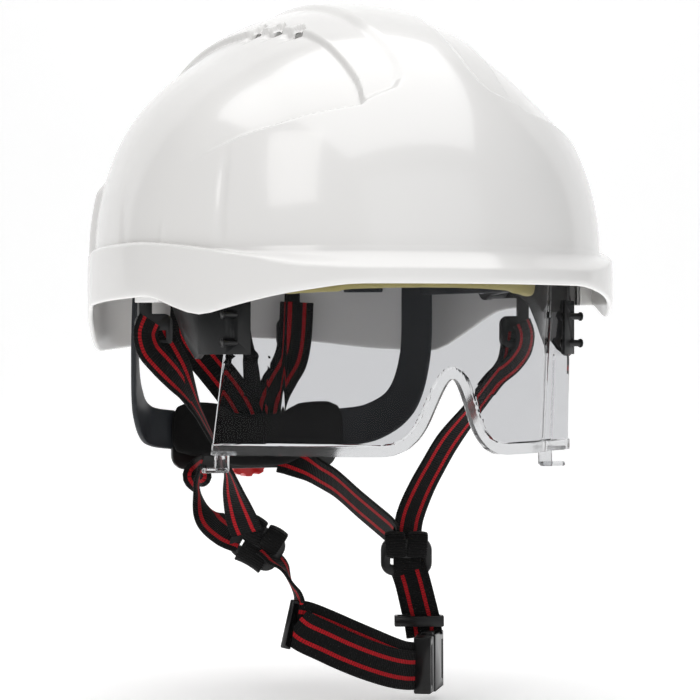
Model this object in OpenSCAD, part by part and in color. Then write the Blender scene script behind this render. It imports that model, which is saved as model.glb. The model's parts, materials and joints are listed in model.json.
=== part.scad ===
// Industrial safety helmet with a retractable lens, a wheel ratchet headband and a four point chin strap.
// Frame: +X is the wearer's left, -Y the front, +Z up. Z = 0 is the front rim, X = Y = 0 the head's axis.

/* [Shell] */
// Half width of the dome at its base
dome_a = 110.5; // [106:0.5:116]
// Half length of the dome at its base
dome_b = 134; // [130:0.5:140]
// Height of the dome above its base
dome_h = 116; // [108:1:124]
// Height of the dome's base above the front rim
dome_base = 16; // [14:0.5:18]
// How far the crown leans back
crown_lean = 10; // [0:1:14]
// Wall thickness
wall = 2.6; // [2:0.1:3]
// How far the rim band stands out at the sides
band_side = 3.5; // [2:0.5:5]
// How much further it stands out at the front
peak_extra = 4.5; // [2:0.5:8]
// Depth of the recesses beside the crown ridge
relief = 1.8; // [1:0.1:2.4]

/* [Lens] */
// Radius of the lens's curved front
lens_r = 79; // [76:1:82]
// Forward reach of the lens surface
lens_b = 110; // [107:1:112]
// Half width of the curved front, out to the folds
fold_x = 64; // [60:1:68]
// Length of the flat panel beyond each fold, along the lower edge
panel_long = 30.6; // [26:0.1:33]
// Angle between the flat panels and the X axis
panel_turn = 41; // [38:0.5:46]
// Height of the lens's lower edge
lens_low = -72; // [-76:1:-66]
// Lens thickness
lens_t = 2.2; // [1.8:0.1:2.6]
// Height of the nose notch's top
nose_top = -39; // [-45:1:-34]
// Lens hinge position along Y
hinge_y = 28; // [22:1:32]
// Lens hinge height
hinge_z = 5; // [2:1:8]

/* [Headband] */
// Half width of the front band
band_a = 80; // [78:1:81]
// Half length of the front band
band_b = 101; // [98:1:102]
// Headband thickness
band_t = 2; // [1.6:0.1:2.4]
// Headband height
band_h = 22; // [18:1:26]

/* [Nape] */
// Distance of the nape pad's face behind the head's axis
nape_y = 97; // [95:1:99]
// Height of the nape wheel's centre
wheel_z = -75; // [-78:1:-72]
// Outer radius of the wheel
wheel_r = 15; // [13:0.5:17]
// Pitch radius of the pinion
pinion_r = 5; // [4.5:0.5:5.5]

/* [Webbing] */
// Webbing width
web_w = 18; // [15:1:20]
// Webbing thickness
web_t = 1.5; // [1.2:0.1:1.8]

/* [Hidden] */
around = 72;
dome_rings = 12;
inner_rings = 12;
facets = 32;

// --- shared curves -------------------------------------------------------------------------------

// Smooth 0 to 1 step of x between lo and hi
function step01(x, lo, hi) = let (t = max(0, min(1, (x - lo) / (hi - lo)))) t * t * (3 - 2 * t);
function unit(v) = v / norm(v);
// Point on an ellipse at plan angle t, measured from the front towards the left
function oval(a, b, t) = [a * sin(t), -b * cos(t)];

// Rim height against plan angle: level front, a dip at each temple, a raised ear and a long nape
rim_line = [[0, 0], [28, 0], [41, -4], [50, -8], [60, -13], [67, -9], [74, -4], [92, -5.5], [110, -7.5],
            [118, -17], [127, -28], [145, -26], [162, -22], [180, -20.5]];
function fold_angle(t) = abs(t > 180 ? t - 360 : t);
function rim_z(t) = let (f = fold_angle(t)) (lookup(f - 3, rim_line) + 2 * lookup(f, rim_line)
                                             + lookup(f + 3, rim_line)) / 4;
function peak(t) = 1 - step01(fold_angle(t), 30, 75);
function band_out(t) = band_side + peak_extra * peak(t);
function ledge_z(t) = dome_base - 1 - 8 * peak(t);

// Depth of the crown relief: two steps beside a central ridge, above a crease round the forehead
ridge_half = 16;
leaf_half = 37;
crease_e = 31;
function relief_at(x, e) =
    let (over = step01(e, crease_e - 3, crease_e + 4) * (1 - step01(e, 118, 150)),
         side = abs(x),
         ridge = ridge_half + 14 * (1 - step01(e, crease_e, 42)),
         first = step01(side, ridge - 3, ridge + 4),
         second = step01(side, leaf_half - 3, leaf_half + 4) * (1 - step01(side, 72, 100)))
    relief * over * (first * (1 - step01(side, 72, 100)) + second);

// Dome point at plan angle t and elevation e, moved inwards by inset
function dome_point(t, e, inset) =
    let (p = oval(dome_a - inset, dome_b - inset, t), r = cos(e), s = sin(e))
    [p[0] * r, p[1] * r + crown_lean * s * s, dome_base + (dome_h - inset) * s];
function front_elevation(p) = atan2(p[2] - dome_base, -(p[1] - crown_lean / 2));
function skin_point(t, e, inset) =
    let (p = dome_point(t, e, 0)) dome_point(t, e, inset + relief_at(p[0], front_elevation(p)));
function band_point(t, out, z) = let (p = oval(dome_a + out, dome_b + out, t)) [p[0], p[1], z];

function shell_ring(k, t) =
    k <= dome_rings ? skin_point(t, 90 - 90 * k / dome_rings, 0)
    : let (j = k - dome_rings, w = band_out(t), lip = ledge_z(t), low = rim_z(t), thick = wall)
      j == 1 ? band_point(t, 0.4, dome_base - 0.6 - 2 * peak(t))
    : j == 2 ? band_point(t, w - 0.8, lip + 0.4)
    : j == 3 ? band_point(t, w, lip - 1)
    : j == 4 ? band_point(t, w, low + 1)
    : j == 5 ? band_point(t, w - 1, low)
    : j == 6 ? band_point(t, w - thick, low + 0.6)
    : j == 7 ? band_point(t, w - thick, lip - thick - 0.6)
    : j == 8 ? band_point(t, -thick, lip - thick + 0.6)
    : skin_point(t, 90 * (j - 9) / inner_rings, thick);
ring_total = dome_rings + 9 + inner_rings;

// Closed surface through rings 1 .. count, with a fan to a single point at each end
module ring_solid(rings, count, sides, first_point, last_point) {
    points = concat([first_point], [for (k = [0 : count - 1]) for (i = [0 : sides - 1]) rings[k][i]],
                    [last_point]);
    final = 1 + count * sides;
    walls = [for (k = [0 : count - 2]) for (i = [0 : sides - 1])
             let (n = (i + 1) % sides, a = 1 + k * sides)
             each [[a + i, a + n, a + sides + n], [a + i, a + sides + n, a + sides + i]]];
    fan_a = [for (i = [0 : sides - 1]) [0, 1 + (i + 1) % sides, 1 + i]];
    base = 1 + (count - 1) * sides;
    fan_b = [for (i = [0 : sides - 1]) [final, base + i, base + (i + 1) % sides]];
    polyhedron(points = points, faces = concat(walls, fan_a, fan_b));
}

// Smooth point of a route at u, where whole numbers are the route's own points
function route_at(p, u) =
    let (n = len(p) - 1, i = max(0, min(n - 1, floor(u))), f = u - i, f2 = f * f, f3 = f2 * f,
         a = p[max(0, i - 1)], b = p[i], c = p[i + 1], d = p[min(n, i + 2)])
    (2 * b + (c - a) * f + (2 * a - 5 * b + 4 * c - d) * f2 + (3 * b - a - 3 * c + d) * f3) / 2;
function mix_at(w, u) =
    let (i = max(0, min(len(w) - 2, floor(u)))) w[i] + (w[i + 1] - w[i]) * (u - i);

// Flat ribbon along a route. across holds the ribbon's width direction at each point of the route
module ribbon(route, across, width, thick, steps = 3) {
    rings = (len(route) - 1) * steps;
    half_w = width / 2;
    half_t = thick / 2;
    points = [for (k = [0 : rings])
              let (u = k / steps, p = route_at(route, u),
                   ahead = route_at(route, min(rings / steps, u + 0.05)),
                   behind = route_at(route, max(0, u - 0.05)),
                   along = unit(ahead - behind), raw = mix_at(across, u),
                   side = unit(raw - (raw * along) * along), up = cross(along, side))
              each [p + half_w * side + half_t * up, p - half_w * side + half_t * up,
                    p - half_w * side - half_t * up, p + half_w * side - half_t * up]];
    walls = [for (k = [0 : rings - 1]) for (i = [0 : 3])
             let (n = (i + 1) % 4, a = 4 * k)
             each [[a + i, a + 4 + n, a + n], [a + i, a + 4 + i, a + 4 + n]]];
    last = 4 * rings;
    ends = [[0, 1, 2], [0, 2, 3], [last, last + 2, last + 1], [last, last + 3, last + 2]];
    polyhedron(points = points, faces = concat(walls, ends));
}

// Plan outline between two ellipses from angle t0 to t1
function arc_strip(a, b, thick, t0, t1, n = 36) =
    concat([for (i = [0 : n]) oval(a, b, t0 + (t1 - t0) * i / n)],
           [for (i = [n : -1 : 0]) oval(a - thick, b - thick, t0 + (t1 - t0) * i / n)]);

// Shape on the left, or its mirror image on the right
module on_side(side) {
    if (side > 0) children();
    else mirror([1, 0, 0]) children();
}

module bar_x(x0, x1, y, z, r) {
    translate([x0, y, z]) rotate([0, 90, 0]) cylinder(h = x1 - x0, r = r, $fn = facets);
}

module bar_y(x, y0, y1, z, r) {
    translate([x, y0, z]) rotate([-90, 0, 0]) cylinder(h = y1 - y0, r = r, $fn = facets);
}

// --- shell ---------------------------------------------------------------------------------------

vent_pitch = 13;
vent_first = -37.4;
vent_x = 40.4;
vent_spread = 4;
vent_z = 115;
vent_tilt = 24;
vent_yaw = -5;
vent_wide = 6.6;
vent_long = 8.2;
vent_deep = 24;
slot_y = -30;
slot_long = 28;
slot_in = 98;
slot_low = -6.5;
slot_top = 9.5;
slot_hole = [4.6, 22, 13];
slot_hole_x = 103.3;

// Three vents a side, each a scoop that narrows towards the inside
module vents(side) {
    on_side(side) for (i = [0 : 2])
        translate([vent_x + vent_spread * i, vent_first + vent_pitch * i, vent_z])
            rotate([0, vent_tilt, vent_yaw]) hull() {
                translate([0, 0, vent_deep / 2]) cube([vent_wide, vent_long, 1], center = true);
                translate([0, 0, -vent_deep / 2]) cube([vent_wide - 2, vent_long - 2, 1], center = true);
            }
}

module accessory_slot(side) {
    out = band_side - wall / 2;
    front = slot_y - slot_long / 2;
    rear = slot_y + slot_long / 2;
    wall_line = [for (i = [0 : 4]) let (y = front + slot_long * i / 4, c = y / (dome_b + out))
                 [(dome_a + out) * sqrt(1 - c * c), y]];
    on_side(side) difference() {
        translate([0, 0, slot_low]) linear_extrude(slot_top - slot_low)
            polygon(concat([[slot_in, front]], wall_line, [[slot_in, rear]]));
        translate([slot_hole_x - slot_hole[0] / 2, slot_y - slot_hole[1] / 2, slot_low - 1])
            cube([slot_hole[0], slot_hole[1], slot_hole[2] + 1]);
        hull() {
            translate([slot_hole_x, slot_y, slot_low - 0.1])
                cube([slot_hole[0] + 1, slot_hole[1] + 1, 0.2], center = true);
            translate([slot_hole_x, slot_y, slot_low + 0.6])
                cube([slot_hole[0], slot_hole[1], 0.2], center = true);
        }
    }
}

module shell() {
    rings = [for (k = [1 : ring_total - 1]) [for (i = [0 : around - 1]) shell_ring(k, 360 * i / around)]];
    color("white") union() {
        difference() {
            ring_solid(rings, ring_total - 1, around, skin_point(0, 90, 0), skin_point(0, 90, wall));
            vents(1);
            vents(-1);
        }
        accessory_slot(1);
        accessory_slot(-1);
    }
}

// --- headband ------------------------------------------------------------------------------------

pad_low = -5;
pad_end = 50;

module brow_pad() {
    color("khaki") difference() {
        translate([0, 0, pad_low]) linear_extrude(band_h + 3)
            polygon(arc_strip(band_a + 3.5, band_b + 3.5, 10, -pad_end, pad_end));
        translate([0, 0, -0.3]) linear_extrude(band_h + 2)
            polygon(arc_strip(band_a + 0.3, band_b + 0.3, band_t + 0.6, -pad_end - 2, pad_end + 2));
    }
}

// The band's rear half runs straighter, to the drop arms
band_rear = 150;
band_end = 115;
function band_plan(t, inset) = oval(band_a - inset, (abs(t) < 90 ? band_b : band_rear) - inset, t);
module headband_front() {
    turns = [for (i = [0 : 46]) band_end * (i / 23 - 1)];
    color("dimgray") linear_extrude(band_h)
        polygon(concat([for (t = turns) band_plan(t, 0)], [for (t = turns) band_plan(-t, band_t)]));
}

arm_route = [[73, 71, 24], [74, 73, 0], [74, 75, -30], [70, 82, -52], [60, 96, -63], [45.5, 107, -66]];
arm_across = [[-0.42, 0.91, 0], [-0.42, 0.91, 0], [-0.42, 0.9, 0.1], [-0.3, 0.5, 0.8], [-0.1, 0.1, 1],
              [0, 0, 1]];
module headband_arm(side) {
    color("dimgray") on_side(side) ribbon(arm_route, arm_across, 19, 2.2, 4);
}
module headband_arm_left() { headband_arm(1); }
module headband_arm_right() { headband_arm(-1); }

// Crown straps follow a smaller dome over the head, one above the other where they cross
cradle_a = 78;
cradle_b = 97;
cradle_h = 88;
cradle_base = 12;
cradle_end = 7;
function cradle_point(t, e, lift) =
    let (p = oval(cradle_a + lift, cradle_b + lift, t))
    [p[0] * cos(e), p[1] * cos(e) + 3, cradle_base + (cradle_h + lift) * sin(e)];
module crown_strap(t, lift) {
    route = [for (i = [0 : 12])
             let (e = cradle_end + (180 - 2 * cradle_end) * i / 12)
             e <= 90 ? cradle_point(t, e, lift) : cradle_point(t + 180, 180 - e, lift)];
    side = [for (p = route) [cos(t), sin(t), 0]];
    color("gray") ribbon(route, side, 16, 1.2, 2);
}
module crown_strap_lower() { crown_strap(32, 0); }
module crown_strap_middle() { crown_strap(-32, 2.4); }
module crown_strap_upper() { crown_strap(90, 4.8); }

// Moulded keys that hang the cradle from the shell, standing just clear of its wall
key_places = [[59, 103.9, 40], [92.8, 54.7, 68]];
key_low = 2;
key_plate = [20, 3, 26];
key_lug = [14, 4, 6];
module cradle_keys() {
    color("dimgray") for (side = [-1, 1]) on_side(side) for (place = key_places)
        translate([place[0], place[1], key_low]) rotate([0, 0, -place[2]]) {
            translate([-key_plate[0] / 2, -key_plate[1] / 2, 0]) cube(key_plate);
            translate([-key_lug[0] / 2, -key_plate[1] / 2 - key_lug[1], key_plate[2] - key_lug[2]])
                cube(key_lug + [0, 0.2, 0]);
        }
}

hanger_route = [[0, 118, 16], [0, 117, 0], [0, 114, -20], [0, 109, -36], [0, 106.5, -50]];
hanger_across = [[0.42, 0.91, 0], [0.45, 0.89, 0], [0.7, 0.7, 0], [0.95, 0.3, 0], [1, 0, 0]];
module nape_hanger() { color([0.1, 0.1, 0.11]) ribbon(hanger_route, hanger_across, 10, 1.2, 4); }

// --- nape fitting --------------------------------------------------------------------------------

pad_t = 6;
pad_half = 47;
housing_y = nape_y + pad_t + 0.3;
housing_t = 2.6;
housing_half = 44;
housing_rise = 8.7;
screw_x = 34;
rack_y = housing_y + housing_t + 0.4;
rack_t = 1.8;
cover_y = rack_y + rack_t + 0.4;
cover_t = 2.6;
wheel_y = cover_y + cover_t + 0.4;
wheel_t = 8;
shaft_r = 3;

// Nape outline seen from behind: two lobes above, a narrower tongue below
module nape_outline(grow) {
    offset(r = 4 + grow, $fn = facets) offset(delta = -4) union() {
        translate([-pad_half, -79]) square([2 * pad_half, 22]);
        translate([-pad_half, -60]) square([34, 9]);
        translate([pad_half - 34, -60]) square([34, 9]);
        translate([-22, -86]) square([44, 10]);
    }
}

module nape_pad() {
    color([0.12, 0.12, 0.12]) translate([0, nape_y + pad_t, 0]) rotate([90, 0, 0])
        linear_extrude(pad_t) nape_outline(0);
}

// Channel for the racks: a back plate with rounded ends between two lips
plate_round = 7;
lip_h = 1.8;
module ratchet_housing() {
    lip_long = 2 * (housing_half - plate_round);
    color([0.15, 0.15, 0.15]) union() {
        translate([0, housing_y + housing_t, wheel_z]) rotate([90, 0, 0]) linear_extrude(housing_t)
            offset(r = plate_round, $fn = facets)
                square([lip_long, 2 * (housing_rise + lip_h - plate_round)], center = true);
        for (z = [wheel_z - housing_rise - lip_h, wheel_z + housing_rise])
            translate([-lip_long / 2, housing_y + 0.2, z])
                cube([lip_long, cover_y + cover_t - housing_y, lip_h]);
    }
}

module ratchet_cover() {
    color([0.15, 0.15, 0.15]) difference() {
        translate([-housing_half + 4, cover_y, wheel_z - housing_rise + 0.5])
            cube([2 * housing_half - 8, cover_t, 2 * housing_rise - 1]);
        bar_y(0, cover_y - 1, cover_y + cover_t + 1, wheel_z, shaft_r + 0.05);
        for (x = [-screw_x, screw_x]) bar_y(x, cover_y - 1, cover_y + cover_t + 1, wheel_z, 1.2);
    }
}

module ratchet_screws() {
    color("silver") for (x = [-screw_x, screw_x]) {
        bar_y(x, cover_y, cover_y + cover_t + 0.2, wheel_z, 1.2);
        bar_y(x, cover_y + cover_t + 0.05, cover_y + cover_t + 1.2, wheel_z, 2.4);
    }
}

lobe_count = 14;
module size_wheel() {
    color("red") union() {
        difference() {
            bar_y(0, wheel_y, wheel_y + wheel_t, wheel_z, wheel_r);
            for (i = [0 : lobe_count - 1]) {
                a = 360 * i / lobe_count;
                bar_y((wheel_r + 0.8) * cos(a), wheel_y - 1, wheel_y + wheel_t + 1,
                      wheel_z + (wheel_r + 0.8) * sin(a), 2);
            }
        }
        bar_y(0, rack_y + rack_t, wheel_y + 0.1, wheel_z, shaft_r);
    }
}

// Teeth are straight sided with room to roll
tooth_count = 10;
tooth_h = 1.7;
tooth_pitch = 2 * PI * pinion_r / tooth_count;
module pinion() {
    color("red") translate([0, rack_y + rack_t, wheel_z]) rotate([90, 0, 0]) linear_extrude(rack_t)
        polygon([for (i = [0 : tooth_count - 1]) let (m = 360 * i / tooth_count)
                 each [[4.1 * cos(m - 11), 4.1 * sin(m - 11)], [5.85 * cos(m - 4), 5.85 * sin(m - 4)],
                       [5.85 * cos(m + 4), 5.85 * sin(m + 4)], [4.1 * cos(m + 11), 4.1 * sin(m + 11)]]]);
}

rack_long = 22;
rack_short = 20;
rack_bar = 1.8;
module rack(side) {
    teeth = floor((rack_long + rack_short - 4) / tooth_pitch / 2);
    root = pinion_r + 1.15;
    color("dimgray") translate([0, rack_y + 0.1, wheel_z]) rotate([0, side > 0 ? 0 : 180, 0])
        translate([0, rack_t - 0.2, 0]) rotate([90, 0, 0]) linear_extrude(rack_t - 0.2) union() {
            translate([-rack_short, root]) square([rack_long + rack_short, rack_bar]);
            for (i = [-teeth : teeth]) let (x = i * tooth_pitch)
                polygon([[x - 0.85, root + 0.3], [x - 0.3, root - tooth_h + 0.2],
                         [x + 0.3, root - tooth_h + 0.2], [x + 0.85, root + 0.3]]);
        }
}
module rack_left() { rack(1); }
module rack_right() { rack(-1); }

// --- lens ----------------------------------------------------------------------------------------

lens_top = 5;
lens_lean = 0.09;
panel_taper = 0.09;
lens_rows = 6;
front_cols = 17;
panel_cols = 7;
lens_cols = 2 * (front_cols + panel_cols);
fold_a = asin(fold_x / lens_r);
arm_x = 88.5;
arm_t = 3;

// Share of the nose notch's depth that is left at each distance from its middle
nose_line = [[0, 0], [3, 0.08], [7, 0.34], [10.5, 0.6], [14, 0.76], [19, 0.9], [25, 0.98], [29, 1]];
// Point at height z on column i, counted from the middle, moved inwards by inset. The panels shorten
// and the sheet leans forward as it rises
function lens_point(i, z, inset) =
    let (turn = fold_a * min(abs(i), front_cols) / front_cols,
         face = abs(i) <= front_cols ? turn : panel_turn,
         long = panel_long - panel_taper * (z - lens_low),
         run = long * max(0, abs(i) - front_cols) / panel_cols)
    [sign(i) * (lens_r * sin(turn) + run * cos(panel_turn) - inset * sin(face)),
     lens_r - lens_b - lens_r * cos(turn) + run * sin(panel_turn) + inset * cos(face)
     - lens_lean * (z - lens_low / 2), z];
function lens_grid(i, j, inset) =
    let (column = i - lens_cols / 2,
         side = abs(lens_point(column, lens_low, inset)[0]),
         low = nose_top + (lens_low - nose_top) * lookup(side, nose_line))
    lens_point(column, lens_top + (low - lens_top) * j / lens_rows, inset);

// Curved clear sheet with its nose notch, as a closed strip of columns
module lens_sheet() {
    points = [for (i = [0 : lens_cols])
              each concat([for (j = [0 : lens_rows]) lens_grid(i, j, 0)],
                          [for (j = [lens_rows : -1 : 0]) lens_grid(i, j, lens_t)])];
    sides = 2 * (lens_rows + 1);
    walls = [for (k = [0 : lens_cols - 1]) for (i = [0 : sides - 1])
             let (n = (i + 1) % sides, a = k * sides)
             each [[a + i, a + sides + n, a + n], [a + i, a + sides + i, a + sides + n]]];
    half = sides / 2;
    last = lens_cols * sides;
    caps = [for (i = [0 : half - 2])
            each [[i, i + 1, sides - 1 - i], [i + 1, sides - 2 - i, sides - 1 - i],
                  [last + i, last + sides - 1 - i, last + i + 1],
                  [last + i + 1, last + sides - 1 - i, last + sides - 2 - i]]];
    polyhedron(points = points, faces = concat(walls, caps));
}

// Tab below each lower corner: a lip that leads back from the sheet, a stem and a wider foot
lip_plan = [[82, -60], [86.2, -56.6], [83, -45.5], [76, -45.5], [76, -51]];
lip_t = 2.2;
stem_box = [[76, -48, lens_low - 7], [83, -45.5, lens_low + 1]];
foot_box = [[77, -50, lens_low - 8], [88.4, -45.5, lens_low - 5.6]];
module lens_tab(side) {
    on_side(side) union() {
        translate([0, 0, lens_low]) linear_extrude(lip_t) polygon(lip_plan);
        for (box = [stem_box, foot_box]) translate(box[0]) cube(box[1] - box[0]);
    }
}

module lens() {
    color([0.85, 0.9, 0.92, 0.4]) union() {
        lens_sheet();
        lens_tab(1);
        lens_tab(-1);
    }
}

// Arm in side view: from the hinge boss forward inside the shell, then down to the lens
arm_outline = [[hinge_y, hinge_z + 6], [-30, 20], [-44, 12], [-50, -6], [-50, -29], [-46, -31], [-31, -21],
               [-16, -5], [0, 1], [hinge_y, hinge_z - 6]];
rivet_places = [[-66, -12], [-66, -24]];
rivet_in = 76.5;
rivet_out = 86.6;
rivet_r = 1.5;
rivet_head = [2, 1];
foot_low = -29;
foot_h = 24;
foot_plan = [[76, -71], [85, -63.9], [arm_x + arm_t, -50], [arm_x + arm_t, -46], [arm_x, -46], [84, -58],
             [76.5, -66.5]];
boss_r = 8;
pin_r = 3;
bore_r = pin_r + 0.05;
module lens_arm(side) {
    color([0.2, 0.2, 0.21]) on_side(side) difference() {
        union() {
            translate([arm_x, 0, 0]) rotate([90, 0, 90]) linear_extrude(arm_t) polygon(arm_outline);
            bar_x(arm_x, arm_x + arm_t, hinge_y, hinge_z, boss_r);
            translate([0, 0, foot_low]) linear_extrude(foot_h) polygon(foot_plan);
        }
        bar_x(arm_x - 1, arm_x + arm_t + 1, hinge_y, hinge_z, bore_r);
        for (r = rivet_places) bar_x(rivet_in, arm_x + arm_t, r[0], r[1], rivet_r);
    }
}
module lens_arm_left() { lens_arm(1); }
module lens_arm_right() { lens_arm(-1); }

module lens_rivets() {
    color("black") for (side = [-1, 1]) on_side(side) for (r = rivet_places) {
        bar_x(rivet_in, rivet_out, r[0], r[1], rivet_r);
        bar_x(rivet_in - rivet_head[1] / 2, rivet_in + rivet_head[1] / 2, r[0], r[1], rivet_head[0]);
        bar_x(rivet_out - 0.2, rivet_out + rivet_head[1] - 0.2, r[0], r[1], rivet_head[0]);
    }
}

bracket_x = arm_x + arm_t + 0.4;
bracket_r = 7;
bracket_foot = [[99, hinge_y - 11, -2], [5, 22, 22]];
pin_end = 103;
pin_head = [5, 2];
module pivot_bracket(side) {
    color([0.2, 0.2, 0.21]) on_side(side) difference() {
        union() {
            bar_x(bracket_x, bracket_foot[0][0] + 2, hinge_y, hinge_z, bracket_r);
            translate(bracket_foot[0]) cube(bracket_foot[1]);
        }
        bar_x(bracket_x - 1, pin_end + 2, hinge_y, hinge_z, pin_r);
    }
}
module pivot_bracket_left() { pivot_bracket(1); }
module pivot_bracket_right() { pivot_bracket(-1); }

module pivot_pin(side) {
    head_x = arm_x - 0.4;
    color("silver") on_side(side) {
        bar_x(head_x - 1, pin_end, hinge_y, hinge_z, pin_r);
        bar_x(head_x - pin_head[1], head_x, hinge_y, hinge_z, pin_head[0]);
    }
}
module pivot_pin_left() { pivot_pin(1); }
module pivot_pin_right() { pivot_pin(-1); }

// --- chin strap fittings -------------------------------------------------------------------------

// Hook: a rounded ring for the webbing below a neck that leads up and out to the shell
ring_w = 17;
ring_h = 15;
ring_round = 4;
ring_slot = [11, 4.2];
ring_t = 3;
neck_w = 6;
module hook_shape(neck_x, neck_h, reach) {
    rotate([90, 0, 0]) linear_extrude(ring_t, center = true) difference() {
        union() {
            offset(r = ring_round, $fn = facets)
                square([ring_w - 2 * ring_round, ring_h - 2 * ring_round], center = true);
            translate([neck_x - neck_w / 2, 0]) square([neck_w, ring_h / 2 + neck_h]);
            translate([neck_x - neck_w / 2, ring_h / 2 + neck_h - neck_w]) square([reach, neck_w]);
        }
        translate([0, -2]) square(ring_slot, center = true);
    }
}
side_hook_at = [92, 2.4, -18.5];
rear_hook_at = [28, 121, -18.5];
module side_hook(side) {
    color([0.1, 0.1, 0.1]) on_side(side) translate(side_hook_at) hook_shape(4.2, 19, 12);
}
module side_hook_left() { side_hook(1); }
module side_hook_right() { side_hook(-1); }
module rear_hook(side) {
    color([0.1, 0.1, 0.1]) on_side(side) translate(rear_hook_at)
        rotate([0, 0, -12]) hook_shape(0, 17, neck_w);
}
module rear_hook_left() { rear_hook(1); }
module rear_hook_right() { rear_hook(-1); }

black_web = [0.13, 0.13, 0.14];
side_left_route = [[92, 2, -28], [88, 3, -36], [82, 8, -46], [76, 20, -60], [68, 28, -72],
                   [60, 31, -86], [52, 27, -100], [44, 20, -112]];
side_left_across = [[0, 1, 0], [0, 1, 0], [0.1, 1, 0.1], [0.4, 0.9, 0.1], [0.7, 0.7, 0.2], [0.8, 0.6, 0.2],
                    [0.9, 0.4, 0.2], [1, 0.2, 0.1]];
side_right_route = [[-92, 1, -28], [-89, -1, -36], [-84, -4, -46], [-76, -4, -57], [-68, -7, -68],
                    [-58, -4, -83], [-51, 2, -95], [-47, 5, -101]];
side_right_across = [[0, 1, 0], [0.1, 1, 0.1], [0.3, 0.9, 0.2], [0.42, 0.9, 0.1], [0.42, 0.9, 0],
                     [0.2, 1, 0], [-0.3, 0.9, 0.1], [-0.7, 0.7, 0.1]];
module side_strap_left() {
    color(black_web) ribbon(side_left_route, side_left_across, web_w, web_t, 2);
}
module side_strap_right() {
    color(black_web) ribbon(side_right_route, side_right_across, web_w - 4, web_t, 2);
}

rear_route = [[27.5, 118.5, -27.4], [25, 117, -33], [18, 113.5, -42], [12, 111, -49]];
rear_across = [[1, -0.2, 0], [0.98, -0.1, 0.2], [0.9, 0, 0.4], [0.9, 0, 0.4]];
module rear_strap(side) {
    color(black_web) on_side(side) ribbon(rear_route, rear_across, web_w - 2, web_t, 3);
}
module rear_strap_left() { rear_strap(1); }
module rear_strap_right() { rear_strap(-1); }

nape_left_route = [[31, 101, -91], [33, 88, -94], [37, 72, -98], [39, 52, -106], [38, 34, -112],
                   [38, 25, -115]];
nape_left_across = [[0.7, 0, 0.7], [0.6, 0.1, 0.8], [0.5, 0.1, 0.9], [0.5, 0.1, 0.9], [0.6, 0, 0.8],
                    [0.7, 0, 0.7]];
nape_right_route = [[-33, 101, -91], [-36, 88, -93], [-41, 72, -97], [-46, 50, -104], [-47, 30, -110],
                    [-46, 22, -112]];
nape_right_across = [[0.7, 0.2, -0.2], [0.5, 0.6, 0], [0.3, 0.9, 0], [0.3, 0.9, 0], [0.3, 0.6, 0.5],
                     [0.5, 0.3, 0.7]];
module nape_strap_left() { color(black_web) ribbon(nape_left_route, nape_left_across, web_w, web_t, 3); }
module nape_strap_right() {
    color(black_web) ribbon(nape_right_route, nape_right_across, web_w - 2, web_t, 3);
}

// Rounded plate that joins the straps below each ear, with two slots
divider_t = 5;
divider_core = [12, 6];
divider_round = 6;
divider_slot = [3, 8];
module divider(tilt) {
    rotate(tilt) rotate([90, 0, 0]) linear_extrude(divider_t, center = true) difference() {
        offset(r = divider_round, $fn = facets) square(divider_core, center = true);
        for (side = [-1, 1]) translate([side * divider_core[0] / 2, 0]) square(divider_slot, center = true);
    }
}
divider_left_at = [39, 14, -124];
divider_right_at = [-39, 9, -116];
module strap_divider_left() {
    color([0.08, 0.08, 0.08]) translate(divider_left_at) divider([0, 0, -25]);
}
module strap_divider_right() {
    color([0.08, 0.08, 0.08]) translate(divider_right_at) divider([0, 30, -25]);
}

lower_left_route = [[38, 9, -138], [38, 4, -146], [39, 0, -154], [39.6, -0.6, -157]];
lower_left_across = [[0.91, -0.42, 0], [0.91, -0.42, 0], [0.9, -0.4, 0.1], [0.9, -0.4, 0.1]];
lower_right_route = [[-30, 5, -127], [-29, 0, -130], [-28, -7, -136], [-28, -12, -141]];
lower_right_across = [[0.2, 0.8, 0.4], [0.4, 0.8, 0.4], [0.2, 0.9, 0.2], [0.1, 0.8, 0.5]];
module lower_strap_left() {
    color(black_web) ribbon(lower_left_route, lower_left_across, web_w - 1, web_t, 3);
}
module lower_strap_right() {
    color(black_web) ribbon(lower_right_route, lower_right_across, web_w - 6, web_t, 3);
}

chin_route = [[-29.3, -17.2, -151.3], [-22, -21, -156], [-12, -24, -161], [0, -25, -166], [12, -24, -170],
              [24, -21.5, -172.8]];
tail_route = [[-26, -16, -143], [-17, -18, -147], [-8, -20.5, -152], [2, -22, -157], [11, -21.5, -161.5]];
chin_across = [[0.3, -0.1, 0.95], [0.3, 0, 0.95], [0.3, 0, 0.95], [0.25, 0, 0.95], [0.2, 0, 0.97],
               [0.1, 0, 1]];
module chin_strap() { color(black_web) ribbon(chin_route, chin_across, web_w, web_t, 3); }
module chin_strap_tail() { color(black_web) ribbon(tail_route, chin_across, web_w, web_t, 3); }

glide_at = [-33.5, -16, -150];
glide_size = [4, 3, 22];
glide_slot = [1.9, 5, 18];
module tri_glide() {
    color([0.08, 0.08, 0.08]) translate(glide_at) rotate([0, 15, 10]) difference() {
        cube(glide_size, center = true);
        cube(glide_slot, center = true);
    }
}

// --- buckle --------------------------------------------------------------------------------------

buckle_at = [36, -13, -171];
buckle_turn = 54;
buckle_w = 26;
buckle_t = 9;
module in_buckle() {
    translate(buckle_at) rotate([0, 0, buckle_turn]) children();
}

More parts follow.
